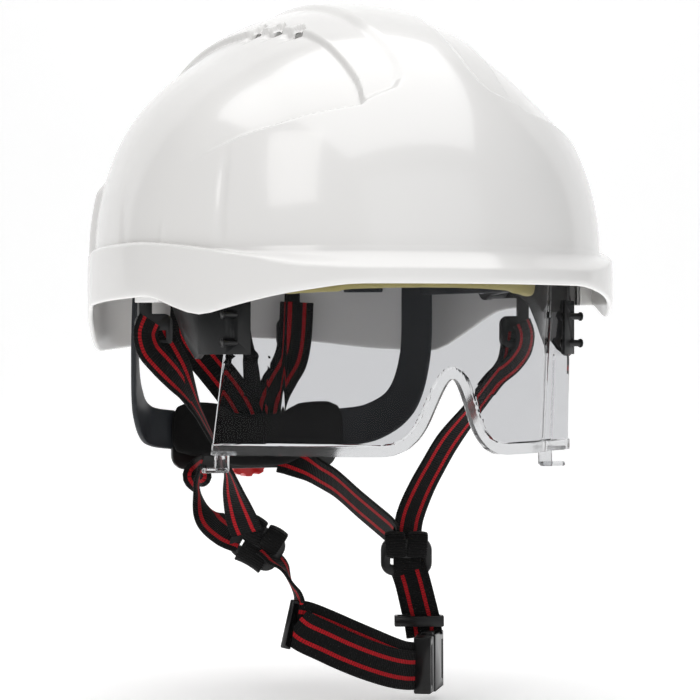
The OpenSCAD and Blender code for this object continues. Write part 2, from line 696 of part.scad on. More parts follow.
// Socket half, open towards the plug and at both edges where the prongs are pressed
socket_start = -2;
socket_long = 24;
buckle_wall = 1.6;
buckle_rail = 1.8;
cavity_start = -3;
cavity_long = 17;
window_long = 11;
window_deep = 4;
web_slot = [2.6, 2 * buckle_t, 18];
socket_slot_x = 17;
inside_t = buckle_t - 2 * buckle_wall;
module web_slot_at(x) {
    translate([x, -buckle_t, -web_slot[2] / 2]) cube(web_slot);
}
module buckle_socket() {
    color([0.07, 0.07, 0.07]) in_buckle() difference() {
        translate([socket_start, -buckle_t / 2, -buckle_w / 2]) cube([socket_long, buckle_t, buckle_w]);
        translate([cavity_start, -inside_t / 2, -buckle_w / 2 + buckle_rail])
            cube([cavity_long, inside_t, buckle_w - 2 * buckle_rail]);
        for (z = [buckle_w / 2 - window_deep + 1, -buckle_w / 2 - 1]) translate([0, -inside_t / 2, z])
            cube([window_long, inside_t, window_deep]);
        web_slot_at(socket_slot_x);
    }
}

plug_start = -12;
plug_long = 9.7;
plug_ease = 0.5;
plug_slot_x = -10;
tongue_start = -4;
tongue = [17, 4, 8];
module buckle_plug() {
    color([0.07, 0.07, 0.07]) in_buckle() difference() {
        union() {
            translate([plug_start, -buckle_t / 2 + plug_ease, -buckle_w / 2])
                cube([plug_long, buckle_t - 2 * plug_ease, buckle_w]);
            translate([tongue_start, -tongue[1] / 2, -tongue[2] / 2]) cube(tongue);
        }
        web_slot_at(plug_slot_x);
    }
}

// Each prong is a beam beside the tongue with a button that stands in the socket's window
prong_beam = [14, 5.2, 4];
prong_start = -1.8;
prong_z = 6.5;
button = [8.5, 5.2, 4];
button_start = 1;
button_z = 10;
module buckle_prong(side) {
    color([0.07, 0.07, 0.07]) in_buckle() {
        translate([prong_start, -prong_beam[1] / 2, side > 0 ? prong_z : -prong_z - prong_beam[2]])
            cube(prong_beam);
        translate([button_start, -button[1] / 2, side > 0 ? button_z : -button_z - button[2]]) cube(button);
    }
}
module buckle_prong_upper() { buckle_prong(1); }
module buckle_prong_lower() { buckle_prong(-1); }

keeper_at = [38.9, 0.3, -153];
keeper_size = [web_w + 5, 8, 5];
keeper_hole = [web_w + 1.6, 5.2, 6];
module strap_keeper() {
    color([0.08, 0.08, 0.08]) translate(keeper_at) rotate([0, 0, -25]) difference() {
        cube(keeper_size, center = true);
        cube(keeper_hole, center = true);
    }
}

shell();
brow_pad();
headband_front();
headband_arm_left();
headband_arm_right();
crown_strap_lower();
crown_strap_middle();
crown_strap_upper();
cradle_keys();
nape_hanger();
nape_pad();
ratchet_housing();
ratchet_cover();
ratchet_screws();
size_wheel();
pinion();
rack_left();
rack_right();
lens();
lens_arm_left();
lens_arm_right();
lens_rivets();
pivot_bracket_left();
pivot_bracket_right();
pivot_pin_left();
pivot_pin_right();
side_hook_left();
side_hook_right();
rear_hook_left();
rear_hook_right();
side_strap_left();
side_strap_right();
rear_strap_left();
rear_strap_right();
nape_strap_left();
nape_strap_right();
strap_divider_left();
strap_divider_right();
lower_strap_left();
lower_strap_right();
chin_strap();
chin_strap_tail();
tri_glide();
buckle_socket();
buckle_plug();
buckle_prong_upper();
buckle_prong_lower();
strap_keeper();
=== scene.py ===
import json
import math

import bmesh
import bpy
import numpy as np
from mathutils import Matrix, Vector


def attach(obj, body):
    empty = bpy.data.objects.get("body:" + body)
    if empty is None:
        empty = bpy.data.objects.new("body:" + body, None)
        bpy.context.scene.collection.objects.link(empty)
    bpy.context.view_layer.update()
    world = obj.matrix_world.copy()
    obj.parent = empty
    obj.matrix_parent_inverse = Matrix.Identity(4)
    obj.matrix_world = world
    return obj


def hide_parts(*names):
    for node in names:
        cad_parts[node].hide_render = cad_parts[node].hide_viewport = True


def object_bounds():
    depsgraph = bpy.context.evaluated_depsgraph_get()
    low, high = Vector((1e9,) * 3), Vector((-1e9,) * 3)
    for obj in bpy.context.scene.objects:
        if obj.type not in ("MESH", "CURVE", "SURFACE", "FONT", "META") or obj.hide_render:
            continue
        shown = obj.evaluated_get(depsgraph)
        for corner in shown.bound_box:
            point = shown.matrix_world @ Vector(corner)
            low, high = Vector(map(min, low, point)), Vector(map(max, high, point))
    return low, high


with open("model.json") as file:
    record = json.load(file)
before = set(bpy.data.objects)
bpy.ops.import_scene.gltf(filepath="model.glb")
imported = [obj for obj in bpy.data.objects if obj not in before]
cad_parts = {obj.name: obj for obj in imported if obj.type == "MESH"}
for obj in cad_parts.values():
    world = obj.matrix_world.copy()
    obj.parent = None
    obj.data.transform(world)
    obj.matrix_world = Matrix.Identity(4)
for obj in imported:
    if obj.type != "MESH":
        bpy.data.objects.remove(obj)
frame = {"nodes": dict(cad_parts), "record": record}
cad_box = [list(corner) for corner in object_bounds()]

# Lengths in this script are millimetres until a mesh is made, and angles are degrees.
MM = 0.001
BODY = {node: body for body, nodes in frame["record"]["behaviour"]["bodies"].items() for node in nodes}
SLOT = {part["node"]: part["material_slot"] for part in frame["record"]["subparts"]}


# --- numbers and curves --------------------------------------------------------------------------

def step01(x, lo, hi):
    """Smooth 0 to 1 step of x between lo and hi."""
    t = np.clip((np.asarray(x, float) - lo) / (hi - lo), 0, 1)
    return t * t * (3 - 2 * t)


def unit(v):
    v = np.asarray(v, float)
    return v / np.maximum(np.linalg.norm(v, axis=-1, keepdims=True), 1e-9)


def spline(points, count):
    """count points on a smooth curve through the given ones, evenly spaced in parameter."""
    p = np.asarray(points, float)
    n = len(p) - 1
    u = np.linspace(0, n, count)
    i = np.clip(u.astype(int), 0, n - 1)
    f = (u - i)[:, None]
    a, b, c, d = p[np.maximum(i - 1, 0)], p[i], p[i + 1], p[np.minimum(i + 2, n)]
    return (2 * b + (c - a) * f + (2 * a - 5 * b + 4 * c - d) * f**2 + (3 * b - a - 3 * c + d) * f**3) / 2


def even(points, count):
    """The same open curve with evenly spaced points."""
    p = np.asarray(points, float)
    s = np.concatenate([[0], np.cumsum(np.linalg.norm(np.diff(p, axis=0), axis=1))])
    t = np.linspace(0, s[-1], count)
    return np.stack([np.interp(t, s, p[:, k]) for k in range(p.shape[1])], 1)


def soften(rows, times):
    """Cuts the corners of a stack of rows (rows, columns, 3), keeping the first and last row."""
    for _ in range(times):
        a, b = rows[:-1], rows[1:]
        cut = np.stack([0.75 * a + 0.25 * b, 0.25 * a + 0.75 * b], 1).reshape(-1, *rows.shape[1:])
        rows = np.concatenate([rows[:1], cut[1:-1], rows[-1:]])
    return rows


# --- meshes --------------------------------------------------------------------------------------

def make(name, points, faces, material, uv=None, smooth=None):
    """Mesh object from points in millimetres. uv holds one (u, v) pair in millimetres per point."""
    mesh = bpy.data.meshes.new(name)
    mesh.from_pydata((np.asarray(points, float) * MM).tolist(), [], [tuple(map(int, f)) for f in faces])
    mesh.validate()
    if uv is not None:
        layer = mesh.uv_layers.new(name="UVMap")
        loops = np.zeros(len(mesh.loops), int)
        mesh.loops.foreach_get("vertex_index", loops)
        layer.data.foreach_set("uv", (np.asarray(uv, float)[loops] * MM).ravel())
    mesh.materials.append(material)
    mesh.shade_smooth()
    if smooth is not None:
        mesh.set_sharp_from_angle(angle=math.radians(smooth))
    obj = bpy.data.objects.new(name, mesh)
    bpy.context.scene.collection.objects.link(obj)
    return obj


def lattice(rows, columns, wrap_columns, wrap_rows=False):
    """Quads over a lattice of points stored row by row."""
    r = np.arange(rows if wrap_rows else rows - 1)
    c = np.arange(columns if wrap_columns else columns - 1)
    i, j = np.meshgrid(r, c, indexing="ij")
    k, l = (i + 1) % rows, (j + 1) % columns
    return np.stack([i * columns + j, i * columns + l, k * columns + l, k * columns + j], -1).reshape(-1, 4)


def flip_out(obj):
    """Turns every face of a closed mesh outwards."""
    bm = bmesh.new()
    bm.from_mesh(obj.data)
    bmesh.ops.recalc_face_normals(bm, faces=bm.faces)
    bm.to_mesh(obj.data)
    bm.free()


def stands_for(obj, node):
    """The piece rides with the node and stands for it, and the node itself is hidden."""
    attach(obj, BODY[node])
    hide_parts(node)


def rides_with(obj, node):
    """An extra piece that rides with the node."""
    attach(obj, BODY[node])


def apply_modifiers(obj):
    bpy.context.view_layer.objects.active = obj
    for other in bpy.context.selected_objects:
        other.select_set(False)
    obj.select_set(True)
    for modifier in list(obj.modifiers):
        bpy.ops.object.modifier_apply(modifier=modifier.name)


WELD = 0.01
FLAT_ANGLE, BEVEL_ANGLE, SHARP_ANGLE = 1, 30, 40


def rounded(node, material, width):
    """Copy of a CAD node with its flat faces merged and its edges rounded by width."""
    source = frame["nodes"][node]
    mesh = source.data.copy()
    obj = bpy.data.objects.new(node + "_piece", mesh)
    bpy.context.scene.collection.objects.link(obj)
    bm = bmesh.new()
    bm.from_mesh(mesh)
    bmesh.ops.remove_doubles(bm, verts=bm.verts, dist=WELD * MM)
    bmesh.ops.dissolve_limit(bm, angle_limit=math.radians(FLAT_ANGLE), verts=bm.verts, edges=bm.edges)
    bm.to_mesh(mesh)
    bm.free()
    bevel = obj.modifiers.new("round", "BEVEL")
    bevel.width = width * MM
    bevel.segments = 2
    bevel.limit_method = "ANGLE"
    bevel.angle_limit = math.radians(BEVEL_ANGLE)
    bevel.use_clamp_overlap = True
    bevel.harden_normals = True
    apply_modifiers(obj)
    mesh = obj.data
    mesh.materials.clear()
    mesh.materials.append(material)
    mesh.shade_smooth()
    mesh.set_sharp_from_angle(angle=math.radians(SHARP_ANGLE))
    stands_for(obj, node)


def box_piece(name, centres, sizes, material, bevel):
    """One object made of rounded boxes, each with its centre and size."""
    bm = bmesh.new()
    for centre, size in zip(centres, sizes):
        verts = bmesh.ops.create_cube(bm, size=1.0)["verts"]
        bmesh.ops.scale(bm, vec=Vector(size) * MM, verts=verts)
        bmesh.ops.translate(bm, vec=Vector(centre) * MM, verts=verts)
    bmesh.ops.bevel(bm, geom=bm.edges[:], offset=bevel * MM, segments=3, affect="EDGES", profile=0.5)
    mesh = bpy.data.meshes.new(name)
    bm.to_mesh(mesh)
    bm.free()
    mesh.materials.append(material)
    mesh.shade_smooth()
    mesh.set_sharp_from_angle(angle=math.radians(50))
    obj = bpy.data.objects.new(name, mesh)
    bpy.context.scene.collection.objects.link(obj)
    return obj


# --- materials -----------------------------------------------------------------------------------

class Nodes:
    """A material with a Principled shader, and short helpers to wire nodes into it."""

    def __init__(self, name, **inputs):
        self.material = bpy.data.materials.new(name)
        self.material.use_nodes = True
        self.tree = self.material.node_tree
        self.shader = self.tree.nodes["Principled BSDF"]
        for key, value in inputs.items():
            self.shader.inputs[key.replace("_", " ")].default_value = value

    def add(self, kind, **settings):
        node = self.tree.nodes.new(kind)
        for key, value in settings.items():
            if hasattr(node, key):
                setattr(node, key, value)
            else:
                node.inputs[key.replace("_", " ")].default_value = value
        return node

    def link(self, source, target):
        self.tree.links.new(source, target)

    def place(self):
        return self.add("ShaderNodeTexCoord").outputs["Object"]

    def noise(self, scale, detail, rough=0.5, at=None):
        node = self.add("ShaderNodeTexNoise", Scale=scale, Detail=detail, Roughness=rough)
        self.link(at if at is not None else self.place(), node.inputs["Vector"])
        return node.outputs["Fac"]

    def math(self, operation, a, b=None):
        node = self.add("ShaderNodeMath", operation=operation)
        for k, value in enumerate((a, b)):
            if value is None:
                continue
            if isinstance(value, (int, float)):
                node.inputs[k].default_value = value
            else:
                self.link(value, node.inputs[k])
        return node.outputs[0]

    def mix(self, factor, a, b):
        node = self.add("ShaderNodeMix", data_type="RGBA")
        for key, value in ((0, factor), (6, a), (7, b)):
            if isinstance(value, (int, float, tuple)):
                node.inputs[key].default_value = value
            else:
                self.link(value, node.inputs[key])
        return node.outputs[2]

    def span(self, value, lo, hi):
        """Maps a 0 to 1 value to lo to hi."""
        node = self.add("ShaderNodeMapRange")
        self.link(value, node.inputs["Value"])
        node.inputs["To Min"].default_value = lo
        node.inputs["To Max"].default_value = hi
        return node.outputs["Result"]

    def bump(self, height, distance, strength):
        node = self.add("ShaderNodeBump", Strength=strength, Distance=distance)
        self.link(height, node.inputs["Height"])
        return node.outputs["Normal"]

    def set(self, key, source):
        self.link(source, self.shader.inputs[key])


def rgb(red, green, blue):
    """Linear colour from display values of 0 to 255."""
    parts = [v / 255 for v in (red, green, blue)]
    return tuple(v / 12.92 if v <= 0.04045 else ((v + 0.055) / 1.055) ** 2.4 for v in parts) + (1.0,)


def shell_material():
    """Moulded white plastic: glossy, with a faint orange peel and a little handling haze."""
    m = Nodes("shell_white", Roughness=0.2, Coat_Weight=0.35, Coat_Roughness=0.06, IOR=1.5)
    m.set("Base Color", m.mix(m.noise(9, 4), rgb(240, 239, 237), rgb(236, 235, 234)))
    m.set("Roughness", m.span(m.noise(60, 5, 0.6), 0.14, 0.24))
    m.set("Normal", m.bump(m.noise(420, 2), 0.00006, 0.25))
    return m.material


def plastic_material(name, colour, other, rough, wear, grain=1500, shine=0.5):
    """Moulded plastic with a fine spark-eroded grain and slight colour and gloss variation."""
    m = Nodes(name, Roughness=rough, IOR=1.48, Specular_IOR_Level=shine)
    colour_out = m.mix(m.noise(35, 4), colour, other)
    geometry = m.add("ShaderNodeNewGeometry")
    edge = m.math("MULTIPLY", m.span(geometry.outputs["Pointiness"], -6.0, 7.0), m.noise(180, 3))
    worn = tuple(min(1.0, c * 2.2 + 0.01) for c in colour[:3]) + (1.0,)
    bare = m.math("MULTIPLY", m.math("MINIMUM", m.math("MAXIMUM", edge, 0.0), 1.0), wear)
    colour_out = m.mix(bare, colour_out, worn)
    m.set("Base Color", colour_out)
    m.set("Roughness", m.span(m.noise(90, 4), rough - 0.07, rough + 0.08))
    m.set("Normal", m.bump(m.noise(grain, 2), 0.00005, 0.5))
    return m.material


# The weaves, in metres: their pitches, a red stripe's distance from the middle and half width, the selvedge
RIB_PITCH, WARP_PITCH, SLANT_PITCH, PORE_PITCH = 0.0011, 0.00085, 0.0022, 0.0011
STRIPE_AT, STRIPE_HALF, SELVEDGE = 0.0037, 0.0009, 0.0012


def webbing_material(name, width, stripes, ground=(9, 9, 10)):
    """Woven polyester tape along its UV map: cross ribs, a herringbone, raised selvedges in the bump, red
    warp stripes.
    """
    m = Nodes(name, Roughness=0.78, Sheen_Weight=0.06, Sheen_Roughness=0.5, Specular_IOR_Level=0.22)
    split = m.add("ShaderNodeSeparateXYZ")
    m.link(m.add("ShaderNodeUVMap", uv_map="UVMap").outputs[0], split.inputs[0])
    across, along = split.outputs[0], split.outputs[1]
    off = m.math("ABSOLUTE", across)
    rib = m.math("SINE", m.math("MULTIPLY", along, 2 * math.pi / RIB_PITCH))
    warp = m.math("SINE", m.math("MULTIPLY", across, 2 * math.pi / WARP_PITCH))
    slant = m.math("SINE", m.math("MULTIPLY", m.math("ADD", along, off), 2 * math.pi / SLANT_PITCH))
    weave = m.math("ADD", m.math("MULTIPLY", rib, 0.55),
                   m.math("ADD", m.math("MULTIPLY", m.math("MULTIPLY", rib, warp), 0.3),
                          m.math("MULTIPLY", slant, 0.2)))
    fuzz = m.noise(2600, 3, 0.7)
    dark = tuple(c * 0.45 for c in rgb(*ground)[:3]) + (1.0,)
    colour = m.mix(m.span(weave, -0.6, 1.4), dark, rgb(*ground))
    if stripes:
        near = m.math("ABSOLUTE", m.math("SUBTRACT", off, STRIPE_AT))
        inside = m.math("LESS_THAN", near, STRIPE_HALF)
        picks = m.math("GREATER_THAN", m.math("ADD", rib, m.math("MULTIPLY", fuzz, 0.5)), -0.55)
        red = m.mix(m.span(m.math("MULTIPLY", weave, fuzz), -0.9, 0.3), rgb(182, 18, 30), rgb(248, 34, 50))
        colour = m.mix(m.math("MULTIPLY", inside, m.math("ADD", m.math("MULTIPLY", picks, 0.65), 0.35)),
                       colour, red)
    m.set("Base Color", colour)
    edge = m.math("GREATER_THAN", off, width / 2 * MM - SELVEDGE)
    height = m.math("ADD", m.math("ADD", weave, m.math("MULTIPLY", edge, 0.8)), m.math("MULTIPLY", fuzz, 0.4))
    m.set("Normal", m.bump(height, 0.00022, 0.8))
    m.set("Roughness", m.span(fuzz, 0.68, 0.88))
    return m.material


def foam_material():
    """Yellow wicking brow pad: a close knit over foam."""
    m = Nodes("brow_foam", Roughness=0.85, Sheen_Weight=0.3, Sheen_Roughness=0.4)
    cells = m.add("ShaderNodeTexVoronoi", Scale=1150.0)
    m.link(m.place(), cells.inputs["Vector"])
    soft = m.noise(40, 4)
    m.set("Base Color", m.mix(soft, rgb(250, 236, 158), rgb(240, 222, 138)))
    height = m.math("ADD", cells.outputs["Distance"], m.math("MULTIPLY", soft, 0.4))
    m.set("Normal", m.bump(height, 0.00035, 0.7))
    return m.material


def cloth_material(name, dark, light):
    """Fine black spacer mesh: a grid of small pores in a knitted face."""
    m = Nodes(name, Roughness=0.85, Sheen_Weight=0.06, Sheen_Roughness=0.45, Specular_IOR_Level=0.2)
    split = m.add("ShaderNodeSeparateXYZ")
    m.link(m.place(), split.inputs[0])
    turns = 2 * math.pi / PORE_PITCH
    a = m.math("SINE", m.math("MULTIPLY", m.math("ADD", split.outputs[0], split.outputs[2]), turns))
    b = m.math("SINE", m.math("MULTIPLY", m.math("SUBTRACT", split.outputs[0], split.outputs[2]), turns))
    knit = m.math("MULTIPLY", a, b)
    m.set("Base Color", m.mix(m.span(m.math("ADD", knit, m.noise(900, 3)), -0.4, 1.4), dark, light))
    m.set("Normal", m.bump(m.math("ADD", knit, m.math("MULTIPLY", m.noise(1800, 3), 0.6)), 0.0003, 0.8))
    return m.material


def clear_material(name, tint, ior, rough, grain, strength):
    """Clear polycarbonate, slightly grey, with a very faint waviness and fine surface haze."""
    m = Nodes(name, Roughness=rough, IOR=ior, Transmission_Weight=1.0, Base_Color=tint)
    m.set("Normal", m.bump(m.noise(grain, 2), 0.00004, strength))
    return m.material


def steel_material():
    m = Nodes("screw_steel", Metallic=1.0, Roughness=0.3)
    brushed = m.add("ShaderNodeMapping")
    brushed.inputs["Scale"].default_value = (1, 1, 30)
    m.link(m.place(), brushed.inputs["Vector"])
    lines = m.noise(300, 3, at=brushed.outputs[0])
    m.set("Base Color", m.mix(lines, rgb(190, 190, 194), rgb(160, 161, 166)))
    m.set("Roughness", m.span(lines, 0.22, 0.4))
    m.set("Normal", m.bump(lines, 0.00003, 0.4))
    return m.material


WHITE = shell_material()
BLACK = plastic_material("fitting_black", rgb(14, 14, 15), rgb(20, 20, 21), 0.3, wear=0.3, shine=0.42)
BAND = plastic_material("band_grey", rgb(36, 39, 43), rgb(43, 46, 50), 0.45, wear=0.2, shine=0.3)
ARM = plastic_material("arm_grey", rgb(19, 20, 21), rgb(26, 27, 28), 0.4, wear=0.2, shine=0.3)
RED = plastic_material("wheel_red", rgb(206, 18, 20), rgb(188, 14, 18), 0.3, grain=900, wear=0.1)
WEB = webbing_material("webbing", 18, True)
PLAIN_WEB = webbing_material("webbing_folded", 18, False)
CRADLE = webbing_material("cradle_web", 16, False, (26, 27, 29))
FOAM = foam_material()
NAPE = cloth_material("nape_cloth", rgb(5, 5, 6), rgb(13, 13, 14))
LENS = clear_material("lens_clear", (0.57, 0.575, 0.59, 1.0), 1.14, 0.015, 30, 0.2)
LENS_EDGE = clear_material("lens_edge", (0.66, 0.665, 0.675, 1.0), 1.38, 0.1, 90, 0.6)
STEEL = steel_material()


# --- camera and lights ---------------------------------------------------------------------------

WORLD_LIGHT = 0.15
VIEW_ANGLE = 25.0
VIEW_DISTANCE = 1200.0
VIEW_RIGHT = 3.0
VIEW_HEIGHT = -27.1
LENS_LENGTH = 134.5
FLOOR_GAP = 4.0
SWEEP_NEAR, SWEEP_START, SWEEP_R, SWEEP_TOP, SWEEP_HALF = -2500.0, 1200.0, 800.0, 3000.0, 3000.0

turn = math.radians(VIEW_ANGLE)
right = Vector((math.cos(turn), -math.sin(turn), 0))
ahead = Vector((math.sin(turn), math.cos(turn), 0))


def look_from(obj, place, target):
    obj.location = place
    obj.rotation_mode = "QUATERNION"
    obj.rotation_quaternion = (Vector(target) - Vector(place)).to_track_quat("-Z", "Y")


def make_camera():
    camera = bpy.data.objects.new("camera", bpy.data.cameras.new("camera"))
    bpy.context.scene.collection.objects.link(camera)
    camera.data.lens = LENS_LENGTH
    camera.data.sensor_width = 36.0
    place = (right * VIEW_RIGHT - ahead * VIEW_DISTANCE) * MM
    place.z = VIEW_HEIGHT * MM
    look_from(camera, place, place + ahead)
    bpy.context.scene.camera = camera


def area_light(name, place, target, size, power, colour=(1, 1, 1)):
    data = bpy.data.lights.new(name, "AREA")
    data.shape = "RECTANGLE"
    data.size, data.size_y = size
    data.energy = power
    data.color = colour
    obj = bpy.data.objects.new(name, data)
    bpy.context.scene.collection.objects.link(obj)
    look_from(obj, place, target)
    return obj


def make_floor():
    """A pale seamless sweep: a floor that curves up into a wall behind."""
    bend = [(SWEEP_START + SWEEP_R * math.sin(a), SWEEP_R - SWEEP_R * math.cos(a))
            for a in np.radians(np.arange(6, 91, 6))]
    section = [(SWEEP_NEAR, 0.0), (SWEEP_START, 0.0)] + bend + [(SWEEP_START + SWEEP_R, SWEEP_TOP)]
    base = cad_box[0][2] / MM - FLOOR_GAP
    points = []
    for far, high in section:
        for x in (-SWEEP_HALF, 0, SWEEP_HALF):
            p = right * x + ahead * far
            points.append((p.x, p.y, base + high))
    m = Nodes("floor", Roughness=0.9, Emission_Color=(1, 1, 1, 1), Emission_Strength=0.36)
    m.set("Base Color", m.mix(m.noise(3, 2), rgb(246, 246, 246), rgb(243, 243, 243)))
    floor = make("floor", points, lattice(len(section), 3, False), m.material)


def make_light():
    scene = bpy.context.scene
    scene.view_settings.view_transform = "Standard"
    world = bpy.data.worlds.new("studio")
    scene.world = world
    world.use_nodes = True
    world.node_tree.nodes["Background"].inputs[0].default_value = (1.0, 1.0, 1.0, 1.0)
    world.node_tree.nodes["Background"].inputs[1].default_value = WORLD_LIGHT
    # The key is a softbox placed so that the flank of the dome reflects it
    key = area_light("key", (-0.982, -0.355, 0.81), (0, 0, 0), (0.48, 0.80), 3.0, (1.0, 0.985, 0.97))
    across = Vector((0.51, -0.839, 0.188)).normalized()
    upward = Vector((0.443, 0.5, 0.744)).normalized()
    outward = across.cross(upward).normalized()
    key.rotation_quaternion = Matrix((across, outward.cross(across), outward)).transposed().to_quaternion()
    area_light("fill", (-0.05, -1.5, 0.4), (0, 0, 0.02), (1.7, 1.5), 3.9, (0.96, 0.975, 1.0))
    area_light("top", (0.0, -0.1, 1.6), (0, 0, 0), (2.0, 2.0), 27)


make_camera()
make_light()
make_floor()


# --- shell ---------------------------------------------------------------------------------------

DOME_A, DOME_B, DOME_H, DOME_BASE, CROWN_LEAN = 110.5, 134.0, 116.0, 16.0, 10.0
WALL = 2.6
BAND_SIDE, PEAK_EXTRA = 3.5, 4.5
AROUND = 600
DOME_ROWS = 230
INNER_ROWS = 90


def oval(a, b, t):
    t = np.radians(t)
    return np.stack([a * np.sin(t), -b * np.cos(t)], -1)


RIM_LINE = np.array([[0, 0], [28, 0], [41, -4], [50, -8], [60, -13], [67, -9], [74, -4], [92, -5.5],
                     [110, -7.5], [118, -17], [127, -28], [145, -26], [162, -22], [180, -20.5]], float)


def fold_angle(t):
    t = np.mod(np.asarray(t, float), 360)
    return np.abs(np.where(t > 180, t - 360, t))


def rim_z(t):
    f = fold_angle(t)
    taps = [(-3, 0.25), (0, 0.5), (3, 0.25)]
    return sum(share * np.interp(f + d, RIM_LINE[:, 0], RIM_LINE[:, 1]) for d, share in taps)


def peak(t):
    return 1 - step01(fold_angle(t), 30, 75)


def dome_point(t, e, inset):
    """Dome point at plan angle t and elevation e, moved inwards by inset."""
    p = oval(DOME_A - inset, DOME_B - inset, t)
    c, s = np.cos(np.radians(e)), np.sin(np.radians(e))
    return np.stack([p[..., 0] * c, p[..., 1] * c + CROWN_LEAN * s * s, DOME_BASE + (DOME_H - inset) * s], -1)


# Crown relief. w is the angle above the horizontal seen from the side, and the lists give each line's |x|
RIDGE_LINE = np.array([[28, 46], [29.6, 39], [31, 27], [32.5, 21], [35, 17], [39.7, 15], [46.7, 14.5],
                       [59, 16], [74, 17.5], [95, 20], [120, 24], [150, 30]])
LEAF_LINE = np.array([[28, 39.5], [30, 37.2], [36.9, 35.6], [42, 36], [53, 37], [62, 39], [70, 43.5],
                      [78, 49], [88, 55], [105, 60], [150, 66]])
CREASE_LINE = np.array([[0, 31.6], [26, 31.6], [32, 30.8], [39, 29.2], [53, 29.9], [59, 30.2], [71, 30.8],
                        [90, 32.5]])
DEGREE = 2.1


def crown_relief(x, w):
    side = np.abs(x)
    ridge = side - np.interp(w, RIDGE_LINE[:, 0], RIDGE_LINE[:, 1])
    leaf = side - np.interp(w, LEAF_LINE[:, 0], LEAF_LINE[:, 1])
    above = (w - np.interp(side, CREASE_LINE[:, 0], CREASE_LINE[:, 1])) * DEGREE
    fade = (1 - step01(side, 64, 98)) * (1 - step01(w, 112, 150))
    first = step01(ridge, -0.6, 5.2) * step01(above, -1.2, 3.2)
    second = step01(leaf, -0.8, 1.3) * step01(above, -0.9, 1.6)
    return fade * (2.3 * first + 2.6 * second)


def side_relief(t, z):
    """Soft upright grooves and edges on the flanks, and the raised band round the back."""
    f = fold_angle(t)
    radius = 2.0
    out = -0.95 * np.exp(-((f - 56.2) * radius / 2.4) ** 2) * step01(z, 14, 24) * (1 - step01(z, 40, 66))
    out += 0.45 * np.exp(-((f - 71.8) * radius / 1.2) ** 2) * (1 - step01(z, 22, 31))
    out += 0.5 * step01(f - 0.08 * (z - 18), 85.2, 88.6) * (1 - step01(z, 30, 62)) * (1 - step01(f, 92, 112))
    back = step01(f, 116.5, 119.5)
    out += 3.6 * back * (1 - step01(z, 44, 54)) + 2.0 * step01(f, 124, 126.5) * (1 - step01(z, 23.5, 26.5))
    return out


VENTS = [(40.7, -38.2), (44.5, -25.4), (48.7, -12.8)]
VENT_TURN = 14.0
VENT_LONG, VENT_WIDE, SCOOP, SCOOP_DEEP = 6.2, 5.4, 7.5, 2.7
VENT_TILT, VENT_Z, VENT_CUT = 24.0, 112.0, 30.0


def vent_relief(x, y):
    """Each vent is a scoop that deepens towards its hole on the inboard side."""
    depth = np.zeros_like(x)
    a = math.radians(VENT_TURN)
    for vx, vy in VENTS:
        dx, dy = np.abs(x) - vx, y - vy
        inwards = -dx * math.cos(a) - dy * math.sin(a)
        lengthways = -dx * math.sin(a) + dy * math.cos(a)
        ramp = step01(inwards, -SCOOP - VENT_WIDE / 2, 0)
        ramp = ramp * (1 - step01(inwards, VENT_WIDE / 2, VENT_WIDE / 2 + 1.0))
        window = 1 - step01(np.abs(lengthways), VENT_LONG / 2 - 0.5, VENT_LONG / 2 + 0.8)
        depth = np.maximum(depth, SCOOP_DEEP * ramp * window)
    return depth


def outer_surface(t, e):
    base = dome_point(t, e, 0.0)
    w = np.degrees(np.arctan2(base[..., 2] - DOME_BASE, -(base[..., 1] - CROWN_LEAN / 2)))
    inset = crown_relief(base[..., 0], w) + vent_relief(base[..., 0], base[..., 1])
    inset = inset - side_relief(t, base[..., 2])
    return dome_point(t, e, inset)


def inner_surface(t, e):
    base = dome_point(t, e, 0.0)
    w = np.degrees(np.arctan2(base[..., 2] - DOME_BASE, -(base[..., 1] - CROWN_LEAN / 2)))
    return dome_point(t, e, WALL + crown_relief(base[..., 0], w))


LEDGE_LINE = np.array([[0, 6.6], [25, 6.9], [34, 7.6], [45, 11], [55, 13.8], [65, 16.6], [78, 18.8],
                       [90, 18.4], [105, 17.4], [118, 15.6], [127, 14.6], [180, 14.4]])


def ledge_z(t):
    f = fold_angle(t)
    return sum(share * np.interp(f + d, LEDGE_LINE[:, 0], LEDGE_LINE[:, 1])
               for d, share in ((-4, 0.25), (0, 0.5), (4, 0.25)))


def foot_elevation(t):
    """Elevation at which the dome meets the band, where the band climbs above the dome's base."""
    return np.degrees(np.arcsin(np.clip((ledge_z(t) + 0.9 - DOME_BASE) / DOME_H, 0, 1)))


def band_profile(t):
    """Control points of the rim band's section at each plan angle, from the dome's foot down and round."""
    w = BAND_SIDE + PEAK_EXTRA * peak(t)
    lip, low = ledge_z(t), rim_z(t)
    foot = dome_point(t, foot_elevation(t), 0.0)
    skin = -side_relief(t, foot[:, 2])
    top = np.maximum(DOME_BASE, lip + 0.9)
    hip = np.minimum(lip - WALL, DOME_BASE - 4.0)
    flat = np.zeros_like(t)
    rows = [(0.25 - skin, top - 0.7),
            (np.maximum(0.9, 0.9 - skin), np.maximum(lip + 1.1, top - 2.6 * peak(t) - 0.9)),
            (w - 1.0, lip + 0.5), (w, lip - 0.9), (w + 0.15, 0.5 * (lip + low)), (w, low + 1.3),
            (w - 0.7, low), (w - WALL + 0.6, low), (w - WALL, low + 1.2), (w - WALL, hip - 0.8),
            (flat - WALL, hip + 0.4)]
    points = []
    for out, z in rows:
        c, sn = np.cos(np.radians(t)), np.sin(np.radians(t))
        points.append(np.stack([(DOME_A + out) * sn, -(DOME_B + out) * c, np.broadcast_to(z, t.shape)], -1))
    return np.array(points)


